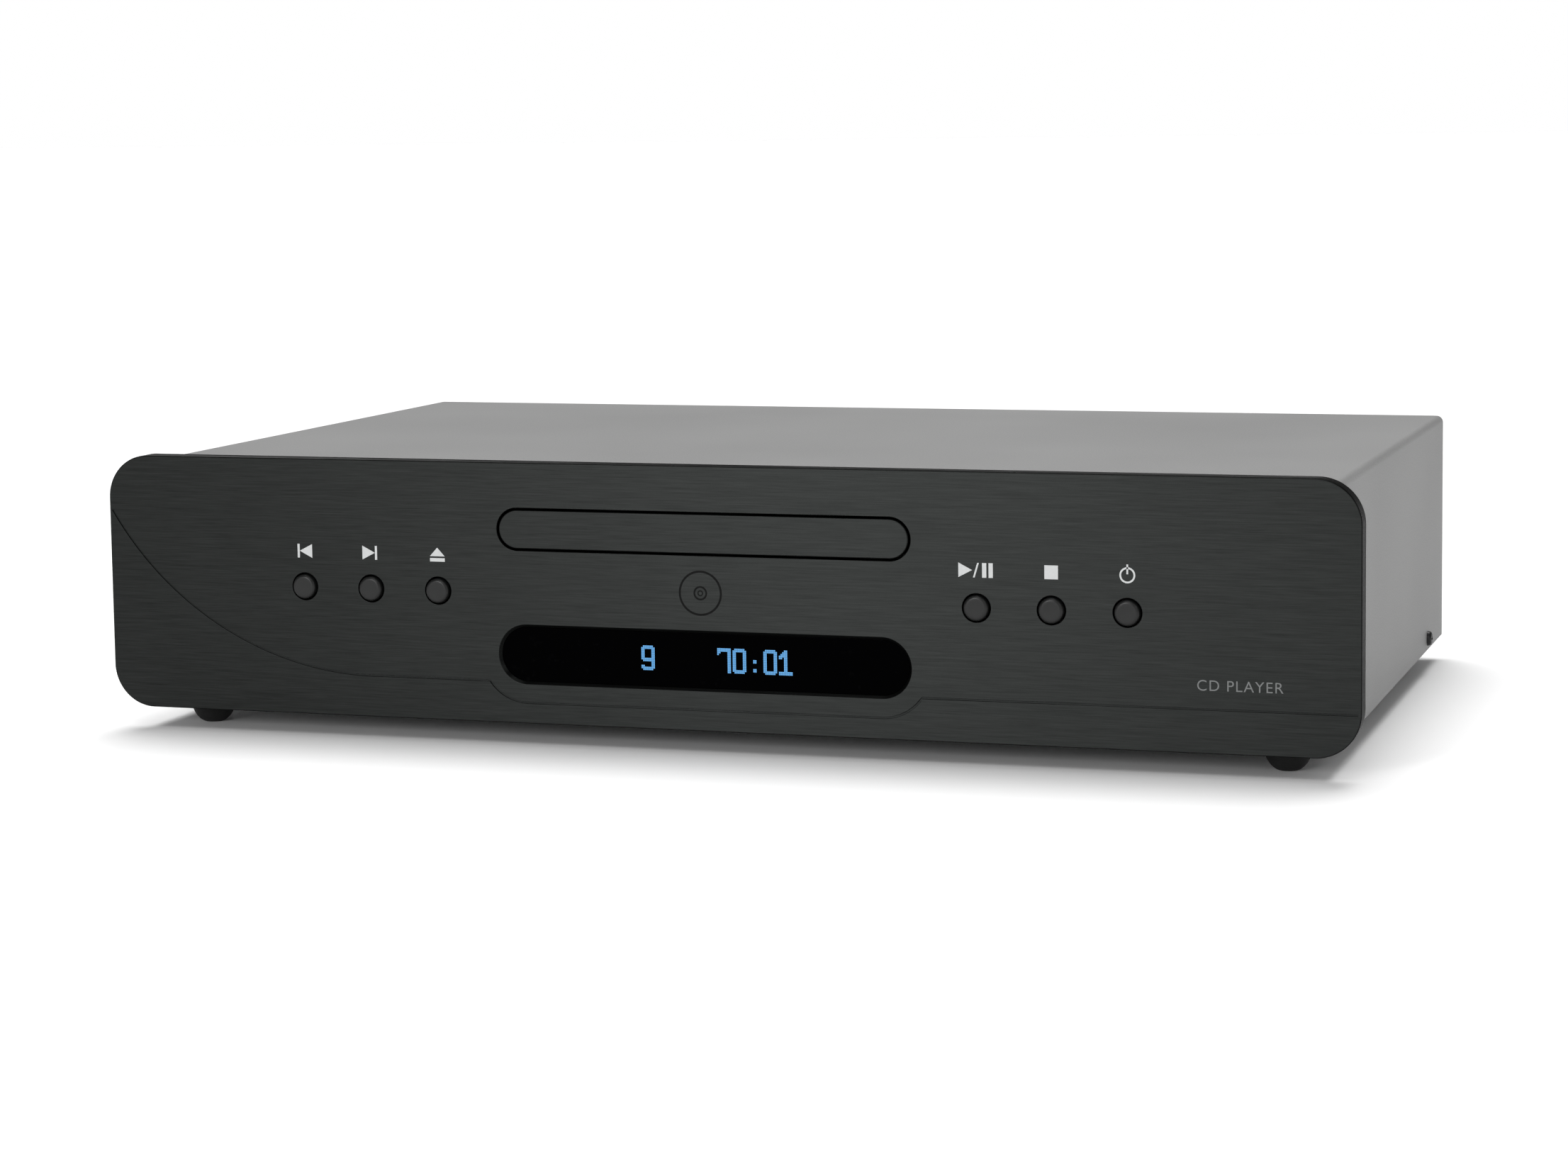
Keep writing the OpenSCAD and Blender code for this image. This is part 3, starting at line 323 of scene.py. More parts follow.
def rubber(name, colour=(0.013, 0.013, 0.013)):
    """Matt rubber: coarse soft grain and a dusty, uneven tone."""
    f = Finish(name)
    grain = f.noise(900.0, detail=4.0, rough=0.7)
    dust = f.noise(60.0, detail=3.0)
    tone = 0.85 + dust * 0.4
    return f.shade(
        colour=f.tint(colour, tone), rough=(0.72 + (grain - 0.5) * 0.2).clamp(),
        normal=f.bump(grain, 0.4, 0.00005), specular=0.3,
    )


def plated_steel(name, colour, rough=0.32, patch=0.25):
    """Zinc-plated sheet: small crystal patches of slightly different tone and gloss."""
    f = Finish(name)
    cells = f.add(
        "ShaderNodeTexVoronoi", {"feature": "F1"}, {"Vector": f.place(), "Scale": 260.0}, "Color"
    )
    split = f.add("ShaderNodeSeparateColor", {}, {0: cells})
    haze = f.noise(30.0, detail=3.0)
    tone = 1 + (split - 0.5) * patch * 0.5 + (haze - 0.5) * patch
    return f.shade(
        colour=f.tint(colour, tone), metal=1.0, rough=(rough + split * 0.12 + (haze - 0.5) * 0.15).clamp(),
        normal=f.bump(haze + split * 0.2, 0.06, 0.0001),
    )


def turned_metal(name, colour, rough=0.2):
    """Turned or drawn metal: fine lines of tone and gloss with a little haze."""
    f = Finish(name)
    lines = f.noise(1.0, (2400, 2400, 2400), detail=2.0)
    haze = f.noise(120.0, detail=3.0)
    tone = 1 + (lines - 0.5) * 0.12 + (haze - 0.5) * 0.2
    return f.shade(
        colour=f.tint(colour, tone), metal=1.0, rough=(rough + (haze - 0.5) * 0.2).clamp(),
        normal=f.bump(lines, 0.08, 0.00002),
    )


def circuit_board(name, levels, along):
    """Green solder mask with copper traces; what stands over the board's face reads as dark parts."""
    f = Finish(name)
    height = f.axes()["xyz".index(along)]
    above = height > levels[1] + 0.05 * MM
    below = height < levels[0] - 0.05 * MM
    part = (above + below).clamp()
    maze = f.add(
        "ShaderNodeTexVoronoi", {"distance": "CHEBYCHEV"}, {"Vector": f.place(), "Scale": 240.0}, "Distance"
    )
    trace = f.ramp(maze, [(0.3, 0.0), (0.36, 1.0), (0.46, 1.0), (0.52, 0.0)])
    board = f.blend(trace, (0.012, 0.075, 0.03), (0.03, 0.15, 0.055))
    speck = f.noise(700.0, detail=2.0)
    dark = f.tint((0.02, 0.02, 0.022), 0.8 + speck * 0.5)
    return f.shade(
        colour=f.blend(part, board, dark), rough=(0.32 + part * 0.2 + (speck - 0.5) * 0.1).clamp(),
        normal=f.bump(trace + speck * 0.3, 0.2, 0.00004),
    )


def tape_wrap(name, centre, colour):
    """Tape laid round a ring: overlapping turns, as stripes of the angle round the ring's axis."""
    f = Finish(name)
    x, y, z = f.axes()
    angle = f.add("ShaderNodeMath", {"operation": "ARCTAN2"}, {0: y - centre[1], 1: x - centre[0]})
    turns = 72
    lap = (angle * (turns / (2 * math.pi)) + (z - centre[2]) * 60).fraction()
    edge = f.ramp(lap, [(0.0, 0.55), (0.08, 1.0), (0.92, 0.92), (1.0, 0.6)])
    wind = f.noise(400.0, detail=2.0)
    tone = edge * (0.85 + wind * 0.3)
    return f.shade(
        colour=f.tint(colour, tone), rough=(0.3 + wind * 0.15).clamp(), normal=f.bump(lap, 0.5, 0.0002)
    )


def capacitor_sleeve(name, colour):
    """Shrink sleeve: dark film with paler stripes down the can and a slight orange-peel gloss."""
    f = Finish(name)
    x = f.axes()[0]
    stripe = ((x * 160).sin() > 0.82) * 0.6
    peel = f.noise(500.0, detail=2.0)
    return f.shade(
        colour=f.blend(stripe, colour, (0.35, 0.36, 0.38)), rough=(0.22 + peel * 0.1).clamp(),
        normal=f.bump(peel, 0.15, 0.00005),
    )


def ribbed_wire(name, colour):
    """Flat cable and harness: fine lengthwise ribs across X, with painted shade in the valleys between them.
    """
    f = Finish(name)
    pitch = 1.27 * MM
    rib = (f.axes()[0] * (2 * math.pi / pitch)).sin() * 0.5 + 0.5
    dirt = f.noise(80.0, detail=3.0)
    # The ribs also set the tone: painted shade in their valleys, a lighter crest on each.
    tone = 0.8 + rib * 0.15 + dirt * 0.1
    return f.shade(
        colour=f.tint(colour, tone), rough=(0.4 + dirt * 0.1).clamp(), normal=f.bump(rib, 0.4, 0.0002)
    )


def smoked_window(name):
    """Black window sheet: nearly no colour, a faint deep gloss with a trace of dust."""
    f = Finish(name)
    dust = f.noise(240.0, detail=4.0, rough=0.7)
    speck = f.ramp(dust, [(0.62, 0.0), (0.75, 1.0)])
    return f.shade(
        colour=f.blend(speck * 0.1, (0.0003, 0.0003, 0.0004), (0.012, 0.012, 0.013)),
        rough=(0.1 + speck * 0.05).clamp(), specular=0.005,
    )


def lit_dots(name, colour):
    """Display dots: light with uneven phosphor over a dark base."""
    f = Finish(name)
    grain = f.noise(3200.0, detail=2.0)
    return f.shade(
        colour=(0.01, 0.012, 0.015), rough=0.35, glow=f.tint(colour, 0.86 + grain * 0.24),
        glow_strength=1.0, specular=0.0,
    )


def printed_ink(name, colour, rough=0.55, specular=0.3):
    """Screen-printed ink: slightly uneven cover with a fine mesh grain."""
    f = Finish(name)
    cover = f.noise(1500.0, detail=3.0, rough=0.6)
    return f.shade(
        colour=f.tint(colour, 0.93 + cover * 0.12), rough=(rough + (cover - 0.5) * 0.1).clamp(),
        normal=f.bump(cover, 0.15, 0.00002), specular=specular,
    )


def lens_glass(name):
    """Coated pickup lens: a blue-violet coating over dark glass."""
    f = Finish(name)
    haze = f.noise(500.0, detail=2.0)
    return f.shade(
        colour=f.blend(haze, (0.05, 0.07, 0.2), (0.12, 0.08, 0.25)), rough=(0.04 + haze * 0.05).clamp(),
        coat=1.0,
    )


# ---- outlines (X to the right, Z up)


def arc_points(centre, radius, start, stop, steps):
    """Centre plus radius times (cos, sin) of evenly spaced angles in degrees, both ends included."""
    angle = np.radians(np.linspace(start, stop, steps))
    return np.asarray(centre) + radius * np.stack([np.cos(angle), np.sin(angle)], axis=1)


def rounded_outline(low, high, radius):
    """Function of a growth: a rectangle's outline with quarter-circle corners, anticlockwise."""

    def outline(grow=0.0):
        steps = sizes().round_steps
        right, left = high[0] - radius, low[0] + radius
        bottom, top = low[1] + radius, high[1] - radius
        corners = (((right, bottom), -90), ((right, top), 0), ((left, top), 90), ((left, bottom), 180))
        return np.concatenate([arc_points(c, radius + grow, a, a + 90, steps) for c, a in corners])

    return outline


def pill_outline(low, high, grow=0.0):
    """Function of a growth: two half circles joined by straight lines, round a box made larger by grow."""
    (left, bottom), (right, top) = low, high
    radius = (top - bottom) / 2 + grow - MERGE
    return rounded_outline((left - grow, bottom - grow), (right + grow, top + grow), radius)


def front_box(node):
    """Lower left and upper right corners of a node's box as the front shows it."""
    low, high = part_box(node)
    return (low[0], low[2]), (high[0], high[2])


def round_outline(centre, radius):
    """Function of a growth: a circle."""

    def outline(grow=0.0):
        return arc_points(centre, radius + grow, 0, 360, 4 * sizes().round_steps)[:-1]

    return outline


def line_path():
    """Middle of the engraved line: a sweep down from the left edge, then level, with a dip round the
    lower side of the window, along a circle that shares the window end's centre."""
    s = sizes()
    (window_left, window_bottom), (window_right, window_top) = front_box("display_window")
    middle_z = (window_bottom + window_top) / 2
    end_x = (window_right - window_left - (window_top - window_bottom)) / 2
    level = BASE_Z + s.line_height
    dip = middle_z - (BASE_Z + s.line_dip)
    bend = math.degrees(math.asin((level - middle_z) / dip))
    sweep_centre = (PANEL_LOW[0] + s.sweep_end, level + s.sweep_radius)
    first = 180 + math.degrees(math.acos((s.sweep_end - s.line_inset) / s.sweep_radius))
    turn_x = end_x + dip * math.cos(math.radians(bend))
    level_x = np.linspace(sweep_centre[0], -turn_x, 12)[1:-1]
    return np.concatenate([
        arc_points(sweep_centre, s.sweep_radius, first, 270, 60),
        np.stack([level_x, np.full_like(level_x, level)], axis=1),
        arc_points((-end_x, middle_z), dip, 180 - bend, 270, 20),
        arc_points((end_x, middle_z), dip, 270, 360 + bend, 20),
        np.array([(PANEL_HIGH[0] - s.line_inset, level)]),
    ])


def ribbon_outline(path, width):
    """Function of a growth: the outline of a path given a width, from the normals of its points."""

    def outline(grow=0.0):
        step = np.gradient(path, axis=0)
        along = step / np.linalg.norm(step, axis=1, keepdims=True)
        normal = np.stack([-along[:, 1], along[:, 0]], axis=1)
        side = normal * (width / 2 + grow)
        return np.concatenate([path - side, (path + side)[::-1]])

    return outline


# ---- meshes


def mark_sharp(mesh, sharp=38):
    """Marks edges sharper than this many degrees and leaves flat faces flat."""
    smooth = np.empty(len(mesh.polygons), dtype=bool)
    mesh.polygons.foreach_get("use_smooth", smooth)
    mesh.set_sharp_from_angle(angle=math.radians(sharp))
    mesh.polygons.foreach_set("use_smooth", smooth)


def new_piece(name, points, faces, smooth=None, material=None, body="case", slot=None, replaces=(),
              turned=False):
    """Makes the mesh, gives it its material and puts it on its body. Shared points are merged. A turned
    form's poles also lose their faces with no area, and all its faces are pointed outwards."""
    mesh = bpy.data.meshes.new(name)
    mesh.from_pydata(np.asarray(points).tolist(), [], [list(map(int, f)) for f in faces])
    if smooth is not None:
        mesh.polygons.foreach_set("use_smooth", np.asarray(smooth, dtype=bool))
    shape = bmesh.new()
    shape.from_mesh(mesh)
    bmesh.ops.remove_doubles(shape, verts=shape.verts, dist=MERGE)
    if turned:
        bmesh.ops.dissolve_degenerate(shape, edges=shape.edges, dist=MERGE / 10)
        bmesh.ops.recalc_face_normals(shape, faces=shape.faces)
    shape.to_mesh(mesh)
    shape.free()
    mark_sharp(mesh)
    mesh.materials.append(material)
    piece = bpy.data.objects.new(name, mesh)
    bpy.context.scene.collection.objects.link(piece)
    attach(piece, body)
    if replaces:
        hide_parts(*replaces)
    return piece


def inside(points, loop):
    """True where a line to the right from a point crosses the loop an odd number of times."""
    first, second = loop, np.roll(loop, -1, axis=0)
    px, pz = points[:, :1], points[:, 1:]
    spans = (first[:, 1] > pz) != (second[:, 1] > pz)
    rise = np.where(second[:, 1] == first[:, 1], 1e-12, second[:, 1] - first[:, 1])
    cross_x = first[:, 0] + (pz - first[:, 1]) * (second[:, 0] - first[:, 0]) / rise
    return (spans & (px < cross_x)).sum(axis=1) % 2 == 1


def fill(outer, holes=()):
    """Triangles between an outer loop and the loops inside it, as numbers into all loops joined."""
    loops = [outer, *holes]
    scale = 1 / MM
    points = np.concatenate(loops) * scale
    edges, start = [], 0
    for loop in loops:
        count = len(loop)
        edges += [(start + k, start + (k + 1) % count) for k in range(count)]
        start += count
    made = delaunay_2d_cdt([tuple(p) for p in points], edges, [], 0, 1e-7)
    places = np.array([tuple(v) for v in made[0]])
    triangles = np.array([f for f in made[2] if len(f) == 3])
    source = np.array([o[0] if o else -1 for o in made[3]])
    middle = places[triangles].mean(axis=1)
    keep = inside(middle, outer * scale)
    for hole in holes:
        keep &= ~inside(middle, hole * scale)
    result = source[triangles[keep]]
    result = result[(result >= 0).all(axis=1)]
    corner = points[result]
    side_a, side_b = corner[:, 1] - corner[:, 0], corner[:, 2] - corner[:, 0]
    turn = side_a[:, 0] * side_b[:, 1] - side_a[:, 1] * side_b[:, 0]
    result[turn < 0] = result[turn < 0][:, ::-1]
    return result


def ring_faces(rings, count):
    """Faces between closed rings of count points each, one ring after another."""
    k = np.arange(count)
    start = count * np.arange(rings - 1)[:, None]
    near, far = start + k, start + (k + 1) % count
    return np.stack([near, far, far + count, near + count], axis=2).reshape(-1, 4)


def rounding(radius, steps=4, inward=1):
    """Quarter circle from a face to a wall, as (growth, depth) pairs; inward is 1 for the outer edge."""
    angle = np.radians(np.linspace(0, 90, steps + 1))
    return [(-inward * radius * (1 - math.sin(a)), radius * (1 - math.cos(a))) for a in angle]


def plate(name, front, back, outer, edge, openings=(), back_edge=0.0, **finish):
    """A plate that faces -Y. Each opening is (outline, [(growth, depth) ...], whether it goes through);
    every outline is carried along its profile, and the flat faces are filled between the outlines."""
    depth = back - front
    profile = [*rounding(edge), (0.0, edge + SUPPORT)] if edge > 0 else [(0.0, 0.0)]
    if back_edge > 0:
        profile += [(0.0, depth - back_edge - SUPPORT)]
        profile += [(g, depth - d) for g, d in reversed(rounding(back_edge))]
    else:
        profile += [(0.0, depth)]
    sweeps = [(outer, profile, True)]
    for outline, stations, through in openings:
        last = [(stations[-1][0], depth)] if through else []
        sweeps.append((outline, [*stations, *last], through))
    points, faces, smooth = [], [], []
    fronts, backs, start = [], [], 0
    for outline, stations, through in sweeps:
        rows = [outline(g) for g, _ in stations]
        count = len(rows[0])
        for row, (_, d) in zip(rows, stations):
            points.append(np.stack([row[:, 0], np.full(count, front + d), row[:, 1]], axis=1))
        outwards = [0, 3, 2, 1] if start == 0 else [1, 2, 3, 0]
        walls = ring_faces(len(stations), count)[:, outwards] + start
        faces.extend(walls)
        smooth += [True] * len(walls)
        fronts.append((rows[0], start))
        backs.append((rows[-1], start + (len(stations) - 1) * count, through))
        start += len(stations) * count
    points = np.concatenate(points)

    def cap(loops, flip):
        numbers = np.concatenate([first + np.arange(len(loop)) for loop, first in loops])
        triangles = numbers[fill(loops[0][0], [loop for loop, _ in loops[1:]])]
        faces.extend(triangles[:, ::-1] if flip else triangles)
        smooth.extend([False] * len(triangles))

    cap(fronts, False)
    cap([(row, first) for row, first, through in backs if through], True)
    for row, first, through in backs:
        if not through:
            cap([(row, first)], False)
    return new_piece(name, points, faces, smooth, **finish)


def lathe(name, centre, axis, profile, steps=64, **finish):
    """A profile of (radius, distance along the axis) pairs turned once round an axis through centre."""
    profile = np.asarray(profile, dtype=float)
    turn = np.linspace(0, 2 * np.pi, steps, endpoint=False)
    radius, along = profile[:, 0][:, None], profile[:, 1][:, None] + 0 * turn
    u, v = radius * np.cos(turn), radius * np.sin(turn)
    order = {"y": (v, along, u), "z": (u, v, along)}[axis]
    points = np.stack(order, axis=2).reshape(-1, 3) + np.asarray(centre)
    faces = ring_faces(len(profile), steps)
    return new_piece(name, points, faces, np.ones(len(faces), dtype=bool), turned=True, **finish)


def join(name, pieces, slot=None, replaces=()):
    """Makes one piece out of several that ride on the same body, each keeping its own finish."""
    first = pieces[0]
    with bpy.context.temp_override(
        active_object=first, object=first, selected_objects=pieces, selected_editable_objects=pieces
    ):
        bpy.ops.object.join()
    first.name = name
    first.data.name = name
    if slot:
        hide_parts(*replaces)
    return first


def dressed_copy(node, body, materials, edge, pick=None):
    """A CAD node's own shape with its triangles joined into faces and its sharp edges rounded. Only faces
    that take part in a curve are smooth. Where there are several materials, pick turns the middle of a
    face into the number of its material."""
    mesh = frame["nodes"][node].data.copy()
    mesh.materials.clear()
    for material in materials:
        mesh.materials.append(material)
    shape = bmesh.new()
    shape.from_mesh(mesh)
    same_point = 2e-6
    flat, slight, sharp = (math.radians(degrees) for degrees in (0.4, 0.5, 32))
    bmesh.ops.remove_doubles(shape, verts=shape.verts, dist=same_point)
    bmesh.ops.dissolve_limit(
        shape, angle_limit=flat, verts=shape.verts, edges=shape.edges, delimit={"NORMAL"}
    )
    for face in shape.faces:
        turns = [e.calc_face_angle() for e in face.edges if len(e.link_faces) == 2]
        face.smooth = any(slight < turn < sharp for turn in turns)
        face.material_index = pick(face.calc_center_median()) if pick else 0
    shape.to_mesh(mesh)
    shape.free()
    piece = bpy.data.objects.new(node + "_shape", mesh)
    bpy.context.scene.collection.objects.link(piece)
    bevel = piece.modifiers.new("edges", "BEVEL")
    for key, value in {"width": edge, "segments": 2, "limit_method": "ANGLE", "angle_limit": sharp}.items():
        setattr(bevel, key, value)
    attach(piece, body)
    slot_of(node)
    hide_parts(node)
    return piece


# ---- finishes, made once and kept by name

FINISHES = {}


def finish(name):
    """The material of this name, made the first time that it is asked for."""
    if name not in FINISHES:
        FINISHES[name] = FINISH_MAKERS[name](name)
    return FINISHES[name]


def dress(slot, node, body="case"):
    """The finish, body, slot and replaced node of a piece that takes a CAD node's place."""
    return {"material": finish(slot), "body": body, "slot": slot, "replaces": [node]}


def board_finish(node, along, thick=1.6 * MM):
    """The finish of one board, whose bare sheet lies across this axis at the low side of its box."""
    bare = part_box(node)[0]["xyz".index(along)]
    return circuit_board(node + "_mask", (bare, bare + thick), along)


FINISH_MAKERS = {
    "panel_aluminium": lambda n: brushed_metal(n, colours().panel),
    "case_paint": lambda n: satin_paint(n, colours().case, grain=0.3),
    "chassis_steel": lambda n: plated_steel(n, (0.17, 0.172, 0.175), rough=0.42),
    "rear_paint": lambda n: satin_paint(n, (0.016, 0.016, 0.017), grain=0.12, rough=0.55),
    "button_gloss": lambda n: moulded_plastic(n, colours().button, rough=0.36, grain=0.12, specular=0.3),
    "window_acrylic": smoked_window,
    "display": lambda n: moulded_plastic(n, (0.01, 0.014, 0.02), rough=0.15, grain=0.02),
    "tray_plastic": lambda n: moulded_plastic(n, (0.02, 0.02, 0.021), rough=0.5),
    "frame_plastic": lambda n: moulded_plastic(n, (0.035, 0.035, 0.037), rough=0.55),
    "gear_plastic": lambda n: moulded_plastic(n, (0.62, 0.6, 0.52), rough=0.4, grain=0.1),
    "rubber": rubber,
    "bright_steel": lambda n: turned_metal(n, (0.62, 0.62, 0.6)),
    "black_screw": lambda n: satin_paint(n, (0.01, 0.01, 0.01), rough=0.35),
    "motor_steel": lambda n: plated_steel(n, (0.6, 0.6, 0.61), rough=0.25, patch=0.12),
    "brass": lambda n: turned_metal(n, (0.72, 0.55, 0.22), rough=0.24),
    "capacitor_sleeve": lambda n: capacitor_sleeve(n, (0.012, 0.016, 0.06)),
    "transformer_wrap": lambda n: tape_wrap(n, middle_of("transformer"), (0.72, 0.42, 0.07)),
    "black_plastic": lambda n: moulded_plastic(n, (0.014, 0.014, 0.014), rough=0.45),
    "wire": lambda n: ribbed_wire(n, (0.5, 0.5, 0.48)),
    "lens_glass": lens_glass,
    "mark_ink": lambda n: printed_ink(n, colours().mark),
    "grey_ink": lambda n: printed_ink(n, (0.15, 0.155, 0.155)),
    "dark_ink": lambda n: printed_ink(n, (0.006, 0.0063, 0.0062), rough=0.6, specular=0.05),
    "display_light": lambda n: lit_dots(n, colours().digits),
    "red_plastic": lambda n: moulded_plastic(n, (0.5, 0.02, 0.015), rough=0.35, grain=0.05),
    "white_plastic": lambda n: moulded_plastic(n, (0.75, 0.75, 0.72), rough=0.38, grain=0.05),
    "orange_plastic": lambda n: moulded_plastic(n, (0.75, 0.2, 0.02), rough=0.35, grain=0.05),
}


# ---- the front


def make_front_panel():
    """The thick panel: rounded edges, tray slot, flared window mouth, button holes and engraved line."""
    s = sizes()
    hole_lip = rounding(s.hole_edge, inward=-1)
    openings = [(pill_outline(*front_box("tray_door"), s.slot_gap), hole_lip, True)]
    lip = 0.12 * MM
    flare = [(s.window_bevel + lip, 0.0), (s.window_bevel + 0.35 * lip, 0.12 * lip),
             (s.window_bevel - 0.25 * lip, 0.6 * lip), (0.0, s.window_bevel), (0.0, s.window_bevel + lip)]
    window_play = 0.1 * MM
    openings.append((pill_outline(*front_box("display_window"), window_play), flare, True))
    for name in BUTTONS:
        x, _, z = middle_of(name)
        openings.append((round_outline((x, z), s.button_hole), hole_lip, True))
    lip = rounding(0.12 * MM, steps=2, inward=-1) + [(0.0, s.line_depth)]
    openings.append((ribbon_outline(line_path(), s.line_width), lip, False))
    outer = rounded_outline((PANEL_LOW[0], BASE_Z), (PANEL_HIGH[0], PANEL_HIGH[2]), s.panel_corner)
    plate("front_plate", FACE_Y, PANEL_BACK, outer, s.panel_edge, openings, back_edge=0.3 * MM,
          **dress("panel_aluminium", "front_panel"))


def make_tray_door():
    """The tray door: a pill-shaped plate, brushed like the panel, with softly rounded edges."""
    low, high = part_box("tray_door")
    plate("door_plate", low[1], high[1], pill_outline(*front_box("tray_door")), 0.45 * MM,
          back_edge=0.2 * MM, **dress("panel_aluminium", "tray_door", "tray"))


def make_window():
    """The smoked window sheet, set back behind the flared mouth."""
    low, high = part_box("display_window")
    plate("window_sheet", low[1], high[1], pill_outline(*front_box("display_window")), 0.1 * MM,
          **dress("window_acrylic", "display_window"))


def button_profile(low, high):
    """Cap with a flat face and a round shoulder, a straight stem and a stop collar at the back."""
    cap = sizes().button_cap
    collar = (high[0] - low[0]) / 2
    shoulder = 1.15 * MM
    face = cap - shoulder
    dish = 0.05 * MM
    rows = [(0.0, dish), (face * 0.5, dish * 0.75), (face * 0.85, dish * 0.2)]
    rows += [(face + shoulder * math.sin(a), shoulder * (1 - math.cos(a)))
             for a in np.radians(np.linspace(4, 90, 9))]
    depth = high[1] - low[1]
    stop = depth - 1.0 * MM
    lip = 0.2 * MM
    rows += [(cap, stop), (collar - lip, stop), (collar, stop + lip), (collar, depth), (0.0, depth)]
    return rows


def make_buttons():
    """Six round buttons, each on its own body."""
    for name in BUTTONS:
        low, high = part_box(name)
        x, _, z = middle_of(name)
        lathe(name + "_cap", (x, low[1], z), "y", button_profile(low, high),
              **dress("button_gloss", name, name))


def printed(name, outlines, material):
    """Thin flat prints laid just proud of the panel. Every outline is a list of loops of (x, z) points:
    its outer edge, then the holes in it."""
    thick = sizes().print_thick
    parts = []
    for k, (outer, *holes) in enumerate(outlines):
        parts.append(plate(
            f"{name}_{k}", FACE_Y - thick, FACE_Y + thick, lambda grow, o=outer: o, 0.0,
            [((lambda grow, h=h: h), [(0.0, 0.0)], True) for h in holes], material=material,
        ))
    return join(name, parts) if len(parts) > 1 else parts[0]


def bar_loop(left, right, bottom=-0.5, top=0.5):
    return [(left, bottom), (right, bottom), (right, top), (left, top)]


def circle_loop(x, z, radius, steps):
    return arc_points((x, z), radius, 0, 360, steps + 1)[:-1]


def make_marks():
    """The marks over the buttons, drawn in parts of a mark's height round its middle: bars, triangles,
    a leaning bar, a square, and a ring with a stroke. Every loop runs anticlockwise."""
    s = sizes()
    marks = {
        "previous": [[bar_loop(-0.525, -0.355)], [[(0.625, -0.5), (0.625, 0.5), (-0.355, 0.0)]]],
        "next": [[bar_loop(0.355, 0.525)], [[(-0.625, 0.5), (-0.625, -0.5), (0.355, 0.0)]]],
        "eject": [[bar_loop(-0.57, 0.57, top=-0.25)], [[(-0.57, -0.12), (0.57, -0.12), (0.0, 0.5)]]],
        "play": [
            [[(-1.24, 0.5), (-1.24, -0.5), (-0.28, 0.0)]],
            [[(-0.22, -0.5), (-0.1, -0.5), (0.2, 0.5), (0.08, 0.5)]],
            [bar_loop(0.42, 0.72)],
            [bar_loop(0.87, 1.17)],
        ],
        "stop": [[bar_loop(-0.47, 0.47, -0.47, 0.47)]],
        "power": [
            [circle_loop(0.0, -0.05, radius, 72) for radius in (0.54, 0.42)],
            [bar_loop(-0.06, 0.06, 0.02, 0.68)],
        ],
    }
    for name, outlines in marks.items():
        x, _, z = middle_of(name + "_button")
        place = np.array((x, z + s.mark_rise))
        loops = [[place + s.mark_height * np.asarray(loop) for loop in outline] for outline in outlines]
        printed(name + "_mark", loops, finish("mark_ink"))


def make_emblem():
    """A plain disc sign between the tray and the window: three thin rings, in dark ink."""
    door_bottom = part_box("tray_door")[0][2]
    window_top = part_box("display_window")[1][2]
    z = (door_bottom + window_top) / 2 + 0.2 * MM
    rings = ((7.6 * MM, 0.7 * MM), (2.4 * MM, 0.6 * MM), (1.0 * MM, 0.4 * MM))
    loops = [[circle_loop(0, z, r, 96) for r in (radius, radius - stroke)] for radius, stroke in rings]
    printed("disc_emblem", loops, finish("dark_ink"))


def make_lettering():
    """Generic words at the lower right, in thin grey letters."""
    curve = bpy.data.curves.new("panel_words", "FONT")
    curve.body = "CD PLAYER"
    curve.size = 5.0 * MM
    curve.space_character = 1.12
    curve.offset = -0.02 * MM
    curve.extrude = sizes().print_thick
    words = bpy.data.objects.new("panel_words_draft", curve)
    bpy.context.scene.collection.objects.link(words)
    bpy.context.view_layer.update()
    mesh = bpy.data.meshes.new_from_object(words)
    bpy.data.objects.remove(words)
    flat = np.empty(len(mesh.vertices) * 3)
    mesh.vertices.foreach_get("co", flat)
    x, y, z = flat.reshape(-1, 3).T
    right = PANEL_HIGH[0] - 25 * MM
    foot = BASE_Z + 20.4 * MM
    placed = np.stack([x + right - (x.max() - x.min()), FACE_Y - z, y + foot], axis=1)
    mesh.vertices.foreach_set("co", placed.reshape(-1))
    mesh.materials.clear()
    mesh.materials.append(finish("grey_ink"))
    piece = bpy.data.objects.new("panel_words", mesh)
    bpy.context.scene.collection.objects.link(piece)
    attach(piece, "case")


# ---- the display


def digit_dots(kind):
    """Lit dots of one sign on a grid of 8 by 14, as (column, row from the top) pairs."""
    column, row = np.meshgrid(np.arange(8), np.arange(14), indexing="ij")
    corner = ((column == 0) | (column == 7)) & ((row == 0) | (row == 13))
    left, right = column < 2, column > 5
    top, bottom = row < 2, row > 11
    if kind == "0":
        lit = (left | right | top | bottom) & ~corner
    elif kind == "7":
        lit = top | right | (left & (row < 3)) | ((column == 0) & (row == 3))
    elif kind == "9":
        bar = (row == 7) | ((row == 8) & (column > 0))
        lit = (top | right | bottom | bar | (left & ((row < 8) | (row > 10)))) & ~corner
        lit &= ~((column == 7) & (row == 13))
    elif kind == "1":
        stem = (column == 3) | (column == 4)
        flag = ((column == 2) & (row > 0) & (row < 4)) | ((column == 1) & (row > 1) & (row < 5))
        flag |= (column == 0) & (row > 2) & (row < 5)
        lit = (stem & (row < 12)) | bottom | flag
    else:
        lit = (column < 2) & (((row > 5) & (row < 8)) | ((row > 10) & (row < 13)))
    return np.stack([column[lit], row[lit]], axis=1)


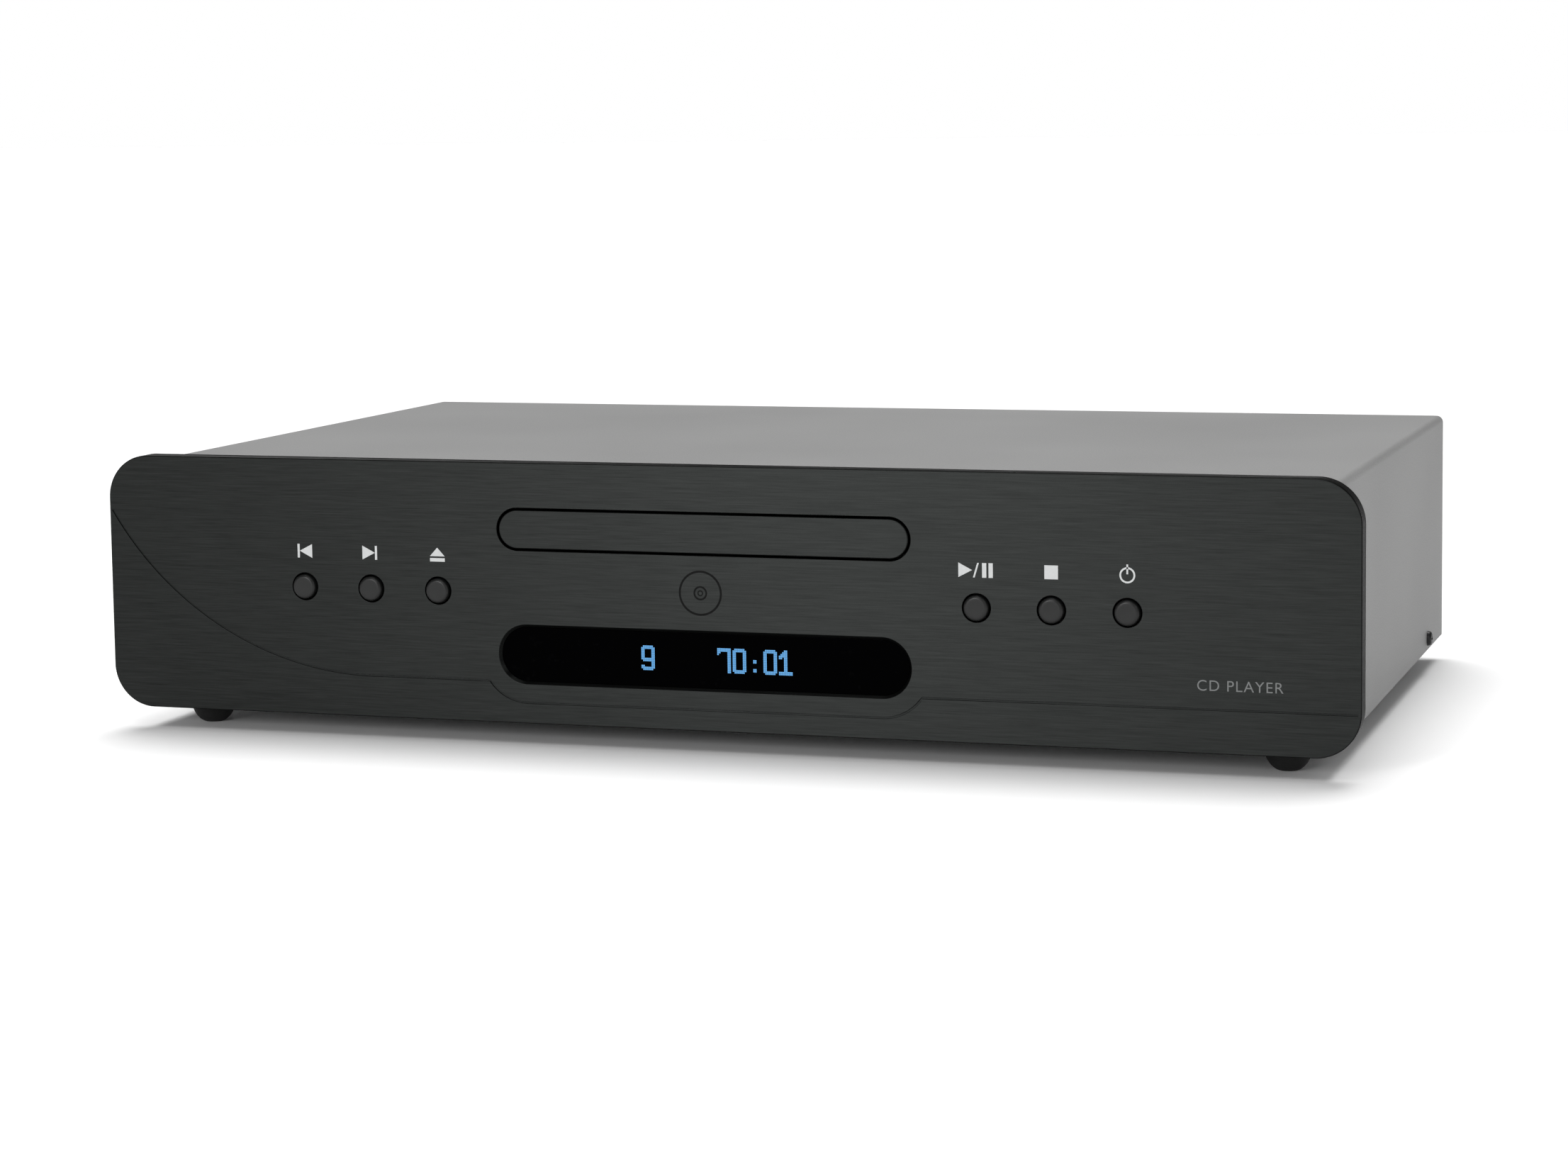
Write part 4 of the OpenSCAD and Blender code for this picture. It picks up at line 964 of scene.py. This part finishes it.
def make_digits():
    """Track and time in dots: each lit dot is a small flat tile on the window sheet."""
    s = sizes()
    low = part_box("display_window")[0]
    signs = (("9", 0), ("7", 45), ("0", 54), (":", 66), ("0", 72), ("1", 81))
    left = -21.7 * MM
    top = middle_of("display_window")[2] + 4.5 * MM
    dots = np.concatenate([digit_dots(kind) + (shift, 0) for kind, shift in signs])
    x = left + (dots[:, 0] + 0.5) * s.dot
    z = top - (dots[:, 1] + 0.5) * s.dot
    half = 0.455 * s.dot
    proud = 0.02 * MM
    tile = np.array(bar_loop(-half, half, -half, half))
    y = np.full((len(x), 4), low[1] - proud)
    points = np.stack([x[:, None] + tile[:, 0], y, z[:, None] + tile[:, 1]], axis=2)
    faces = np.arange(len(x) * 4).reshape(-1, 4)
    new_piece("display_digits", points.reshape(-1, 3), faces, material=finish("display_light"))


# ---- case, feet and screws


def cover_outline():
    """Function of a growth: the cover's section, an upturned U of bent sheet, anticlockwise. Points next
    to each bend keep the flat stretches flat."""
    low, (half, _, top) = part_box("top_cover")
    bottom = low[2]

    def bends(x, z, radius):
        right = [(x, bottom + 2 * SUPPORT), (x, z - radius - SUPPORT)]
        right += arc_points((x - radius, z - radius), radius, 0, 90, 9).tolist()
        right += [(x - radius - SUPPORT, z)]
        return right + [(-px, pz) for px, pz in reversed(right)]

    def outline(grow=0.0):
        outer = bends(half + grow, top + grow, COVER_BEND + grow)
        inner = bends(half - SHEET - grow, top - SHEET - grow, COVER_BEND - SHEET - grow)
        foot = bottom - grow
        right_end = [(half - SHEET - grow, foot), (half + grow, foot)]
        left_end = [(-half - grow, foot), (-half + SHEET + grow, foot)]
        return np.array(right_end + outer + left_end + inner[::-1])

    return outline


def make_cover():
    """The cover: a bent sheet with rounded edges, and the lip that the three rear screws go through."""
    low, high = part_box("top_cover")
    paint = finish("case_paint")
    edge = 0.3 * MM
    shell = plate("cover_shell", low[1], high[1], cover_outline(), edge, back_edge=edge, material=paint)
    lip_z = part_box("cover_screws")[1][2] - SCREW_RADIUS
    holes = [(round_outline((x, lip_z), 1.7 * MM), [(0.0, 0.0)], True) for x in LIP_SCREWS]
    inset = SHEET + 0.1 * MM
    drop = 10 * MM
    lip_outline = rounded_outline(
        (low[0] + inset, high[2] - drop), (high[0] - inset, high[2] - SHEET), 0.4 * MM
    )
    lip = plate("cover_lip", high[1] - SHEET, high[1], lip_outline, 0.2 * MM, holes, back_edge=edge,
                material=paint)
    join("cover", [shell, lip], slot="case_paint", replaces=["top_cover"])


ROUNDED_NODES = {"rear_panel": 0.2 * MM, "chassis": 0.2 * MM, "mains_inlet": 0.25 * MM,
                 "rocker_frame": 0.3 * MM, "power_rocker": 0.35 * MM, "disc_tray": 0.3 * MM,
                 "clamp_puck": 0.2 * MM, "turntable": 0.15 * MM}


def make_rounded_nodes():
    """Copies of the nodes that show at the back, below or with the tray open, with rounded edges."""
    for node, edge in ROUNDED_NODES.items():
        dressed_copy(node, body_of(node), [finish(slot_of(node))], edge)


def socket_picker(places, node):
    """Tells a socket's materials apart round the axes at places: (x, number of the ring's material).
    0 is the body, 1 the barrel and 2 the insulator."""
    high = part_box(node)[1]
    axis_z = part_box("phono_jacks")[1][2] - 8 * MM
    ring_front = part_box("rear_panel")[1][1] + 1.6 * MM
    insulator_front = high[1] - 1.5 * MM
    ring_radius, bore_radius, ring_depth = 5.3 * MM, 3.4 * MM, 3.5 * MM
    hair = 0.05 * MM

    def pick(middle):
        for x, ring in places:
            away = math.hypot(middle[0] - x, middle[2] - axis_z)
            if away > ring_radius or middle[1] < ring_front - ring_depth:
                continue
            if middle[1] < ring_front + hair:
                return ring
            wall = away > bore_radius or middle[1] > insulator_front + hair
            return 1 if wall else 2
        return 0

    return pick


def make_sockets():
    """Phono sockets with red and white rings, and the digital sockets, whose coaxial one has an orange
    ring."""
    low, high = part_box("phono_jacks")
    end = 7 * MM
    coaxial_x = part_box("digital_sockets")[1][0] - end
    rows = (("phono_jacks", "red_plastic", [(low[0] + end, 2), (high[0] - end, 3)]),
            ("digital_sockets", "orange_plastic", [(coaxial_x, 3)]))
    for node, ring, places in rows:
        materials = [finish(name) for name in ("black_plastic", "brass", "white_plastic", ring)]
        dressed_copy(node, "case", materials, 0.12 * MM, socket_picker(places, node))


def foot_places():
    """Middles of the four feet, from the box that holds them all."""
    low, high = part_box("feet")
    across, along = ((low[k] + FOOT_RADIUS, high[k] - FOOT_RADIUS) for k in (0, 1))
    return [(x, y) for x in across for y in along]


def make_feet():
    """Domed rubber feet: part of a ball with a flat rest, a screw recess below and a rim above."""
    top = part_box("feet")[1][2]
    middle, flat = 6.75 * MM, 3.3 * MM
    recess, recess_top = 1.7 * MM, 3.0 * MM
    rows = [(0.0, recess_top), (recess, recess_top), (recess, 0.25 * MM), (1.95 * MM, 0.0), (flat, 0.0)]
    first = math.asin(-middle / FOOT_RADIUS)
    rows += [(FOOT_RADIUS * math.cos(a), middle + FOOT_RADIUS * math.sin(a))
             for a in np.linspace(first, 0, 16)[1:]]
    rows += [(FOOT_RADIUS, top - 0.5 * MM), (FOOT_RADIUS - 0.1 * MM, top), (0.0, top)]
    feet = [lathe(f"foot_{k}", (x, y, 0.0), "z", rows, steps=72, material=finish("rubber"))
            for k, (x, y) in enumerate(foot_places())]
    join("rubber_feet", feet, slot="rubber", replaces=["feet"])


def pan_head(radius, height):
    """Grid of a pan head with a crossed recess: height falls off as a rounded dome towards the rim,
    less the depth of the recess where either arm of the cross covers the point."""
    cross_rings, rim_rings, turns = 16, 6, 72
    r = np.concatenate([np.linspace(0, 0.62, cross_rings), np.linspace(0.68, 1.0, rim_rings)])
    angle = np.linspace(0, 2 * np.pi, turns, endpoint=False)
    rr, aa = np.meshgrid(r, angle, indexing="ij")
    dome = height * np.sqrt(np.clip(1 - (np.clip(rr - 0.45, 0, 1) / 0.55) ** 2.6, 0, 1))
    u, v = rr * np.cos(aa), rr * np.sin(aa)
    arm, reach = 0.13, 0.55
    across, up = np.abs(u), np.abs(v)
    cover = ((across < arm) & (up < reach)) | ((up < arm) & (across < reach))
    deep = 0.72 * height * np.clip(1.15 - rr / reach, 0.0, 1.0)
    return np.stack([u * radius, v * radius, dome - cover * deep], axis=2)


def make_screw(name, centre, outward, height=1.75 * MM, shank=5 * MM):
    """A screw whose head stands out along outward ("+x", "-x", "+y"), with a plain shank behind."""
    grid = pan_head(SCREW_RADIUS, height)
    rim = grid[-1] * (1, 1, 0)
    shank_part = 0.52
    neck = rim * shank_part
    end = (0, 0, shank)
    rows = [*grid, rim, neck, neck - end, 0 * rim - end]
    u, v, lift = np.concatenate(rows).T
    lift = lift if outward[0] == "+" else -lift
    order = {"x": (lift, u, v), "y": (u, lift, v)}[outward[1]]
    faces = ring_faces(len(rows), len(rim))
    return new_piece(name, np.stack(order, axis=1) + np.asarray(centre), faces,
                     np.ones(len(faces), dtype=bool), material=finish("black_screw"), turned=True)


def make_cover_screws():
    """Black pan-head screws: one low on each side near the back and three along the rear lip."""
    cover_low, cover_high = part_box("top_cover")
    low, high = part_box("cover_screws")
    side_y, side_z = low[1] + SCREW_RADIUS, low[2] + SCREW_RADIUS
    lip_z = high[2] - SCREW_RADIUS
    screws = [make_screw("side_screw_right", (cover_high[0], side_y, side_z), "+x"),
              make_screw("side_screw_left", (cover_low[0], side_y, side_z), "-x")]
    screws += [make_screw(f"lip_screw_{k}", (x, cover_high[1], lip_z), "+y")
               for k, x in enumerate(LIP_SCREWS)]
    join("case_screws", screws, slot="black_screw", replaces=["cover_screws"])


# ---- the rest of the CAD nodes


def make_inner_finishes():
    """Every CAD node that still shows gets its finish; boards get one each, set at their own level."""
    replaced = {"front_panel", "tray_door", "display_window", "top_cover", "feet", "cover_screws",
                "phono_jacks", "digital_sockets", *ROUNDED_NODES, *BUTTONS}
    boards = {"display_board": "y", "button_boards": "y", "main_board": "z", "power_board": "z",
              "audio_board": "z"}
    for node, thing in frame["nodes"].items():
        if node in replaced or not thing.data.polygons:
            continue
        if node in boards:
            material = board_finish(node, boards[node])
        else:
            material = finish(slot_of(node))
        thing.data.materials.clear()
        thing.data.materials.append(material)


# ---- the stage


def add_light(name, kind, energy, **settings):
    """A light of this kind at the origin, with its settings."""
    light = bpy.data.lights.new(name, kind)
    light.energy = energy
    for key, value in settings.items():
        setattr(light, key, value)
    thing = bpy.data.objects.new(name, light)
    bpy.context.scene.collection.objects.link(thing)
    return thing


def area_light(name, place, aim, size, power):
    """A rectangular soft light at place that looks towards aim."""
    thing = add_light(name, "AREA", power, shape="RECTANGLE", size=size[0], size_y=size[1])
    thing.location = place
    x, y, z = np.asarray(aim) - np.asarray(place)
    thing.rotation_euler = (math.atan2(math.hypot(x, y), -z), 0.0, math.atan2(y, x) - math.pi / 2)


def make_floor():
    """A plain pale floor, wide enough to meet the horizon and very faintly lit from below."""
    reach = 30.0
    mesh = bpy.data.meshes.new("floor")
    corners = [(-reach, -reach, 0.0), (reach, -reach, 0.0), (reach, reach, 0.0), (-reach, reach, 0.0)]
    mesh.from_pydata(corners, [], [(0, 1, 2, 3)])
    floor = bpy.data.objects.new("floor", mesh)
    bpy.context.scene.collection.objects.link(floor)
    f = Finish("pale_floor")
    cloud = f.noise(0.6, detail=2.0)
    mesh.materials.append(f.shade(
        colour=f.tint((0.92, 0.92, 0.92), 0.99 + cloud * 0.02), rough=0.9, specular=0.05,
        glow=(1.0, 1.0, 1.0), glow_strength=0.01,
    ))


def make_sky():
    """A dim even room with a white band along the horizon, where a studio's wall would be."""
    world = bpy.data.worlds.new("soft_light")
    world.use_nodes = True
    tree = world.node_tree
    place = tree.nodes.new("ShaderNodeTexCoord")
    parts = tree.nodes.new("ShaderNodeSeparateXYZ")
    ramp = tree.nodes.new("ShaderNodeValToRGB")
    tree.links.new(place.outputs["Generated"], parts.inputs[0])
    tree.links.new(parts.outputs[2], ramp.inputs[0])
    for element, (height, level) in zip(ramp.color_ramp.elements, ((0.05, 1.0), (0.12, 0.24))):
        element.position = height
        element.color = (level, level, level, 1.0)
    background = tree.nodes["Background"]
    tree.links.new(ramp.outputs[0], background.inputs["Color"])
    background.inputs["Strength"].default_value = 1.0
    bpy.context.scene.world = world


def make_lights():
    """A broad overhead sun, a softbox above and in front, a weak one over the top and one to the right."""
    sun = add_light("overhead", "SUN", 3.1, angle=math.radians(50))
    sun.rotation_euler = Euler([math.radians(a) for a in (-21, -6, 0)])
    middle = (0, 0, 0.05)
    area_light("front_softbox", (-0.72, -2.6, 0.78), middle, (0.4, 0.5), 24.0)
    area_light("upper_softbox", (0.05, -1.0, 1.1), middle, (0.8, 0.5), 4.0)
    area_light("right_softbox", (0.75, -0.75, 0.5), (0.2, -0.1, 0.05), (0.4, 0.4), 1.2)


def make_camera():
    """The camera, on the right in front and a little above, looking slightly down."""
    camera = bpy.data.cameras.new("camera")
    camera.lens = 79.65
    camera.sensor_width = 36.0
    camera.shift_y = -0.075
    camera.clip_end = 80.0
    eye = bpy.data.objects.new("camera", camera)
    eye.location = (0.3838, -1.2171, 0.2117)
    eye.rotation_euler = Euler([math.radians(a) for a in (84.2, 0.746, 18.07)])
    scene = bpy.context.scene
    scene.collection.objects.link(eye)
    scene.camera = eye
    scene.view_settings.view_transform = "Standard"


# ---- operators and panel


class PLAYER_OT_front(bpy.types.Operator):
    """Makes the front panel, the tray door and the window sheet"""

    bl_idname = "player.front"
    bl_label = "Front panel"

    def execute(self, context):
        make_front_panel()
        make_tray_door()
        make_window()
        return {"FINISHED"}


class PLAYER_OT_buttons(bpy.types.Operator):
    """Makes the six buttons"""

    bl_idname = "player.buttons"
    bl_label = "Buttons"

    def execute(self, context):
        make_buttons()
        return {"FINISHED"}


class PLAYER_OT_prints(bpy.types.Operator):
    """Makes the printed marks, the disc emblem and the words"""

    bl_idname = "player.prints"
    bl_label = "Printed marks"

    def execute(self, context):
        make_marks()
        make_emblem()
        make_lettering()
        return {"FINISHED"}


class PLAYER_OT_display(bpy.types.Operator):
    """Makes the lit dots of the display"""

    bl_idname = "player.display"
    bl_label = "Display"

    def execute(self, context):
        make_digits()
        return {"FINISHED"}


class PLAYER_OT_case(bpy.types.Operator):
    """Makes the cover, the rear panel, the sockets, the chassis, the feet and the case screws"""

    bl_idname = "player.case"
    bl_label = "Case"

    def execute(self, context):
        make_cover()
        make_rounded_nodes()
        make_sockets()
        make_feet()
        make_cover_screws()
        return {"FINISHED"}


class PLAYER_OT_inner(bpy.types.Operator):
    """Gives the inner parts their finishes"""

    bl_idname = "player.inner"
    bl_label = "Inner finishes"

    def execute(self, context):
        make_inner_finishes()
        return {"FINISHED"}


class PLAYER_OT_stage(bpy.types.Operator):
    """Sets the floor, the lights and the camera"""

    bl_idname = "player.stage"
    bl_label = "Stage"

    def execute(self, context):
        make_floor()
        make_sky()
        make_lights()
        make_camera()
        return {"FINISHED"}


OPERATORS = (PLAYER_OT_stage, PLAYER_OT_front, PLAYER_OT_buttons, PLAYER_OT_prints, PLAYER_OT_display,
             PLAYER_OT_case, PLAYER_OT_inner)


class PLAYER_PT_panel(bpy.types.Panel):
    """Lists the player's groups of pieces"""

    bl_idname = "PLAYER_PT_panel"
    bl_label = "CD player"
    bl_space_type = "VIEW_3D"
    bl_region_type = "UI"
    bl_category = "Player"

    def draw(self, context):
        for kind in OPERATORS:
            self.layout.operator(kind.bl_idname)


CLASSES = (PlayerSizes, PlayerColours, *OPERATORS, PLAYER_PT_panel)


def register():
    for kind in CLASSES:
        bpy.utils.register_class(kind)
    bpy.types.Scene.player_sizes = PointerProperty(type=PlayerSizes)
    bpy.types.Scene.player_colours = PointerProperty(type=PlayerColours)


def unregister():
    del bpy.types.Scene.player_colours
    del bpy.types.Scene.player_sizes
    for kind in reversed(CLASSES):
        bpy.utils.unregister_class(kind)


def main():
    register()
    for kind in OPERATORS:
        getattr(bpy.ops.player, kind.bl_idname.split(".")[1])()
    bpy.context.view_layer.update()


if __name__ == "__main__":
    main()
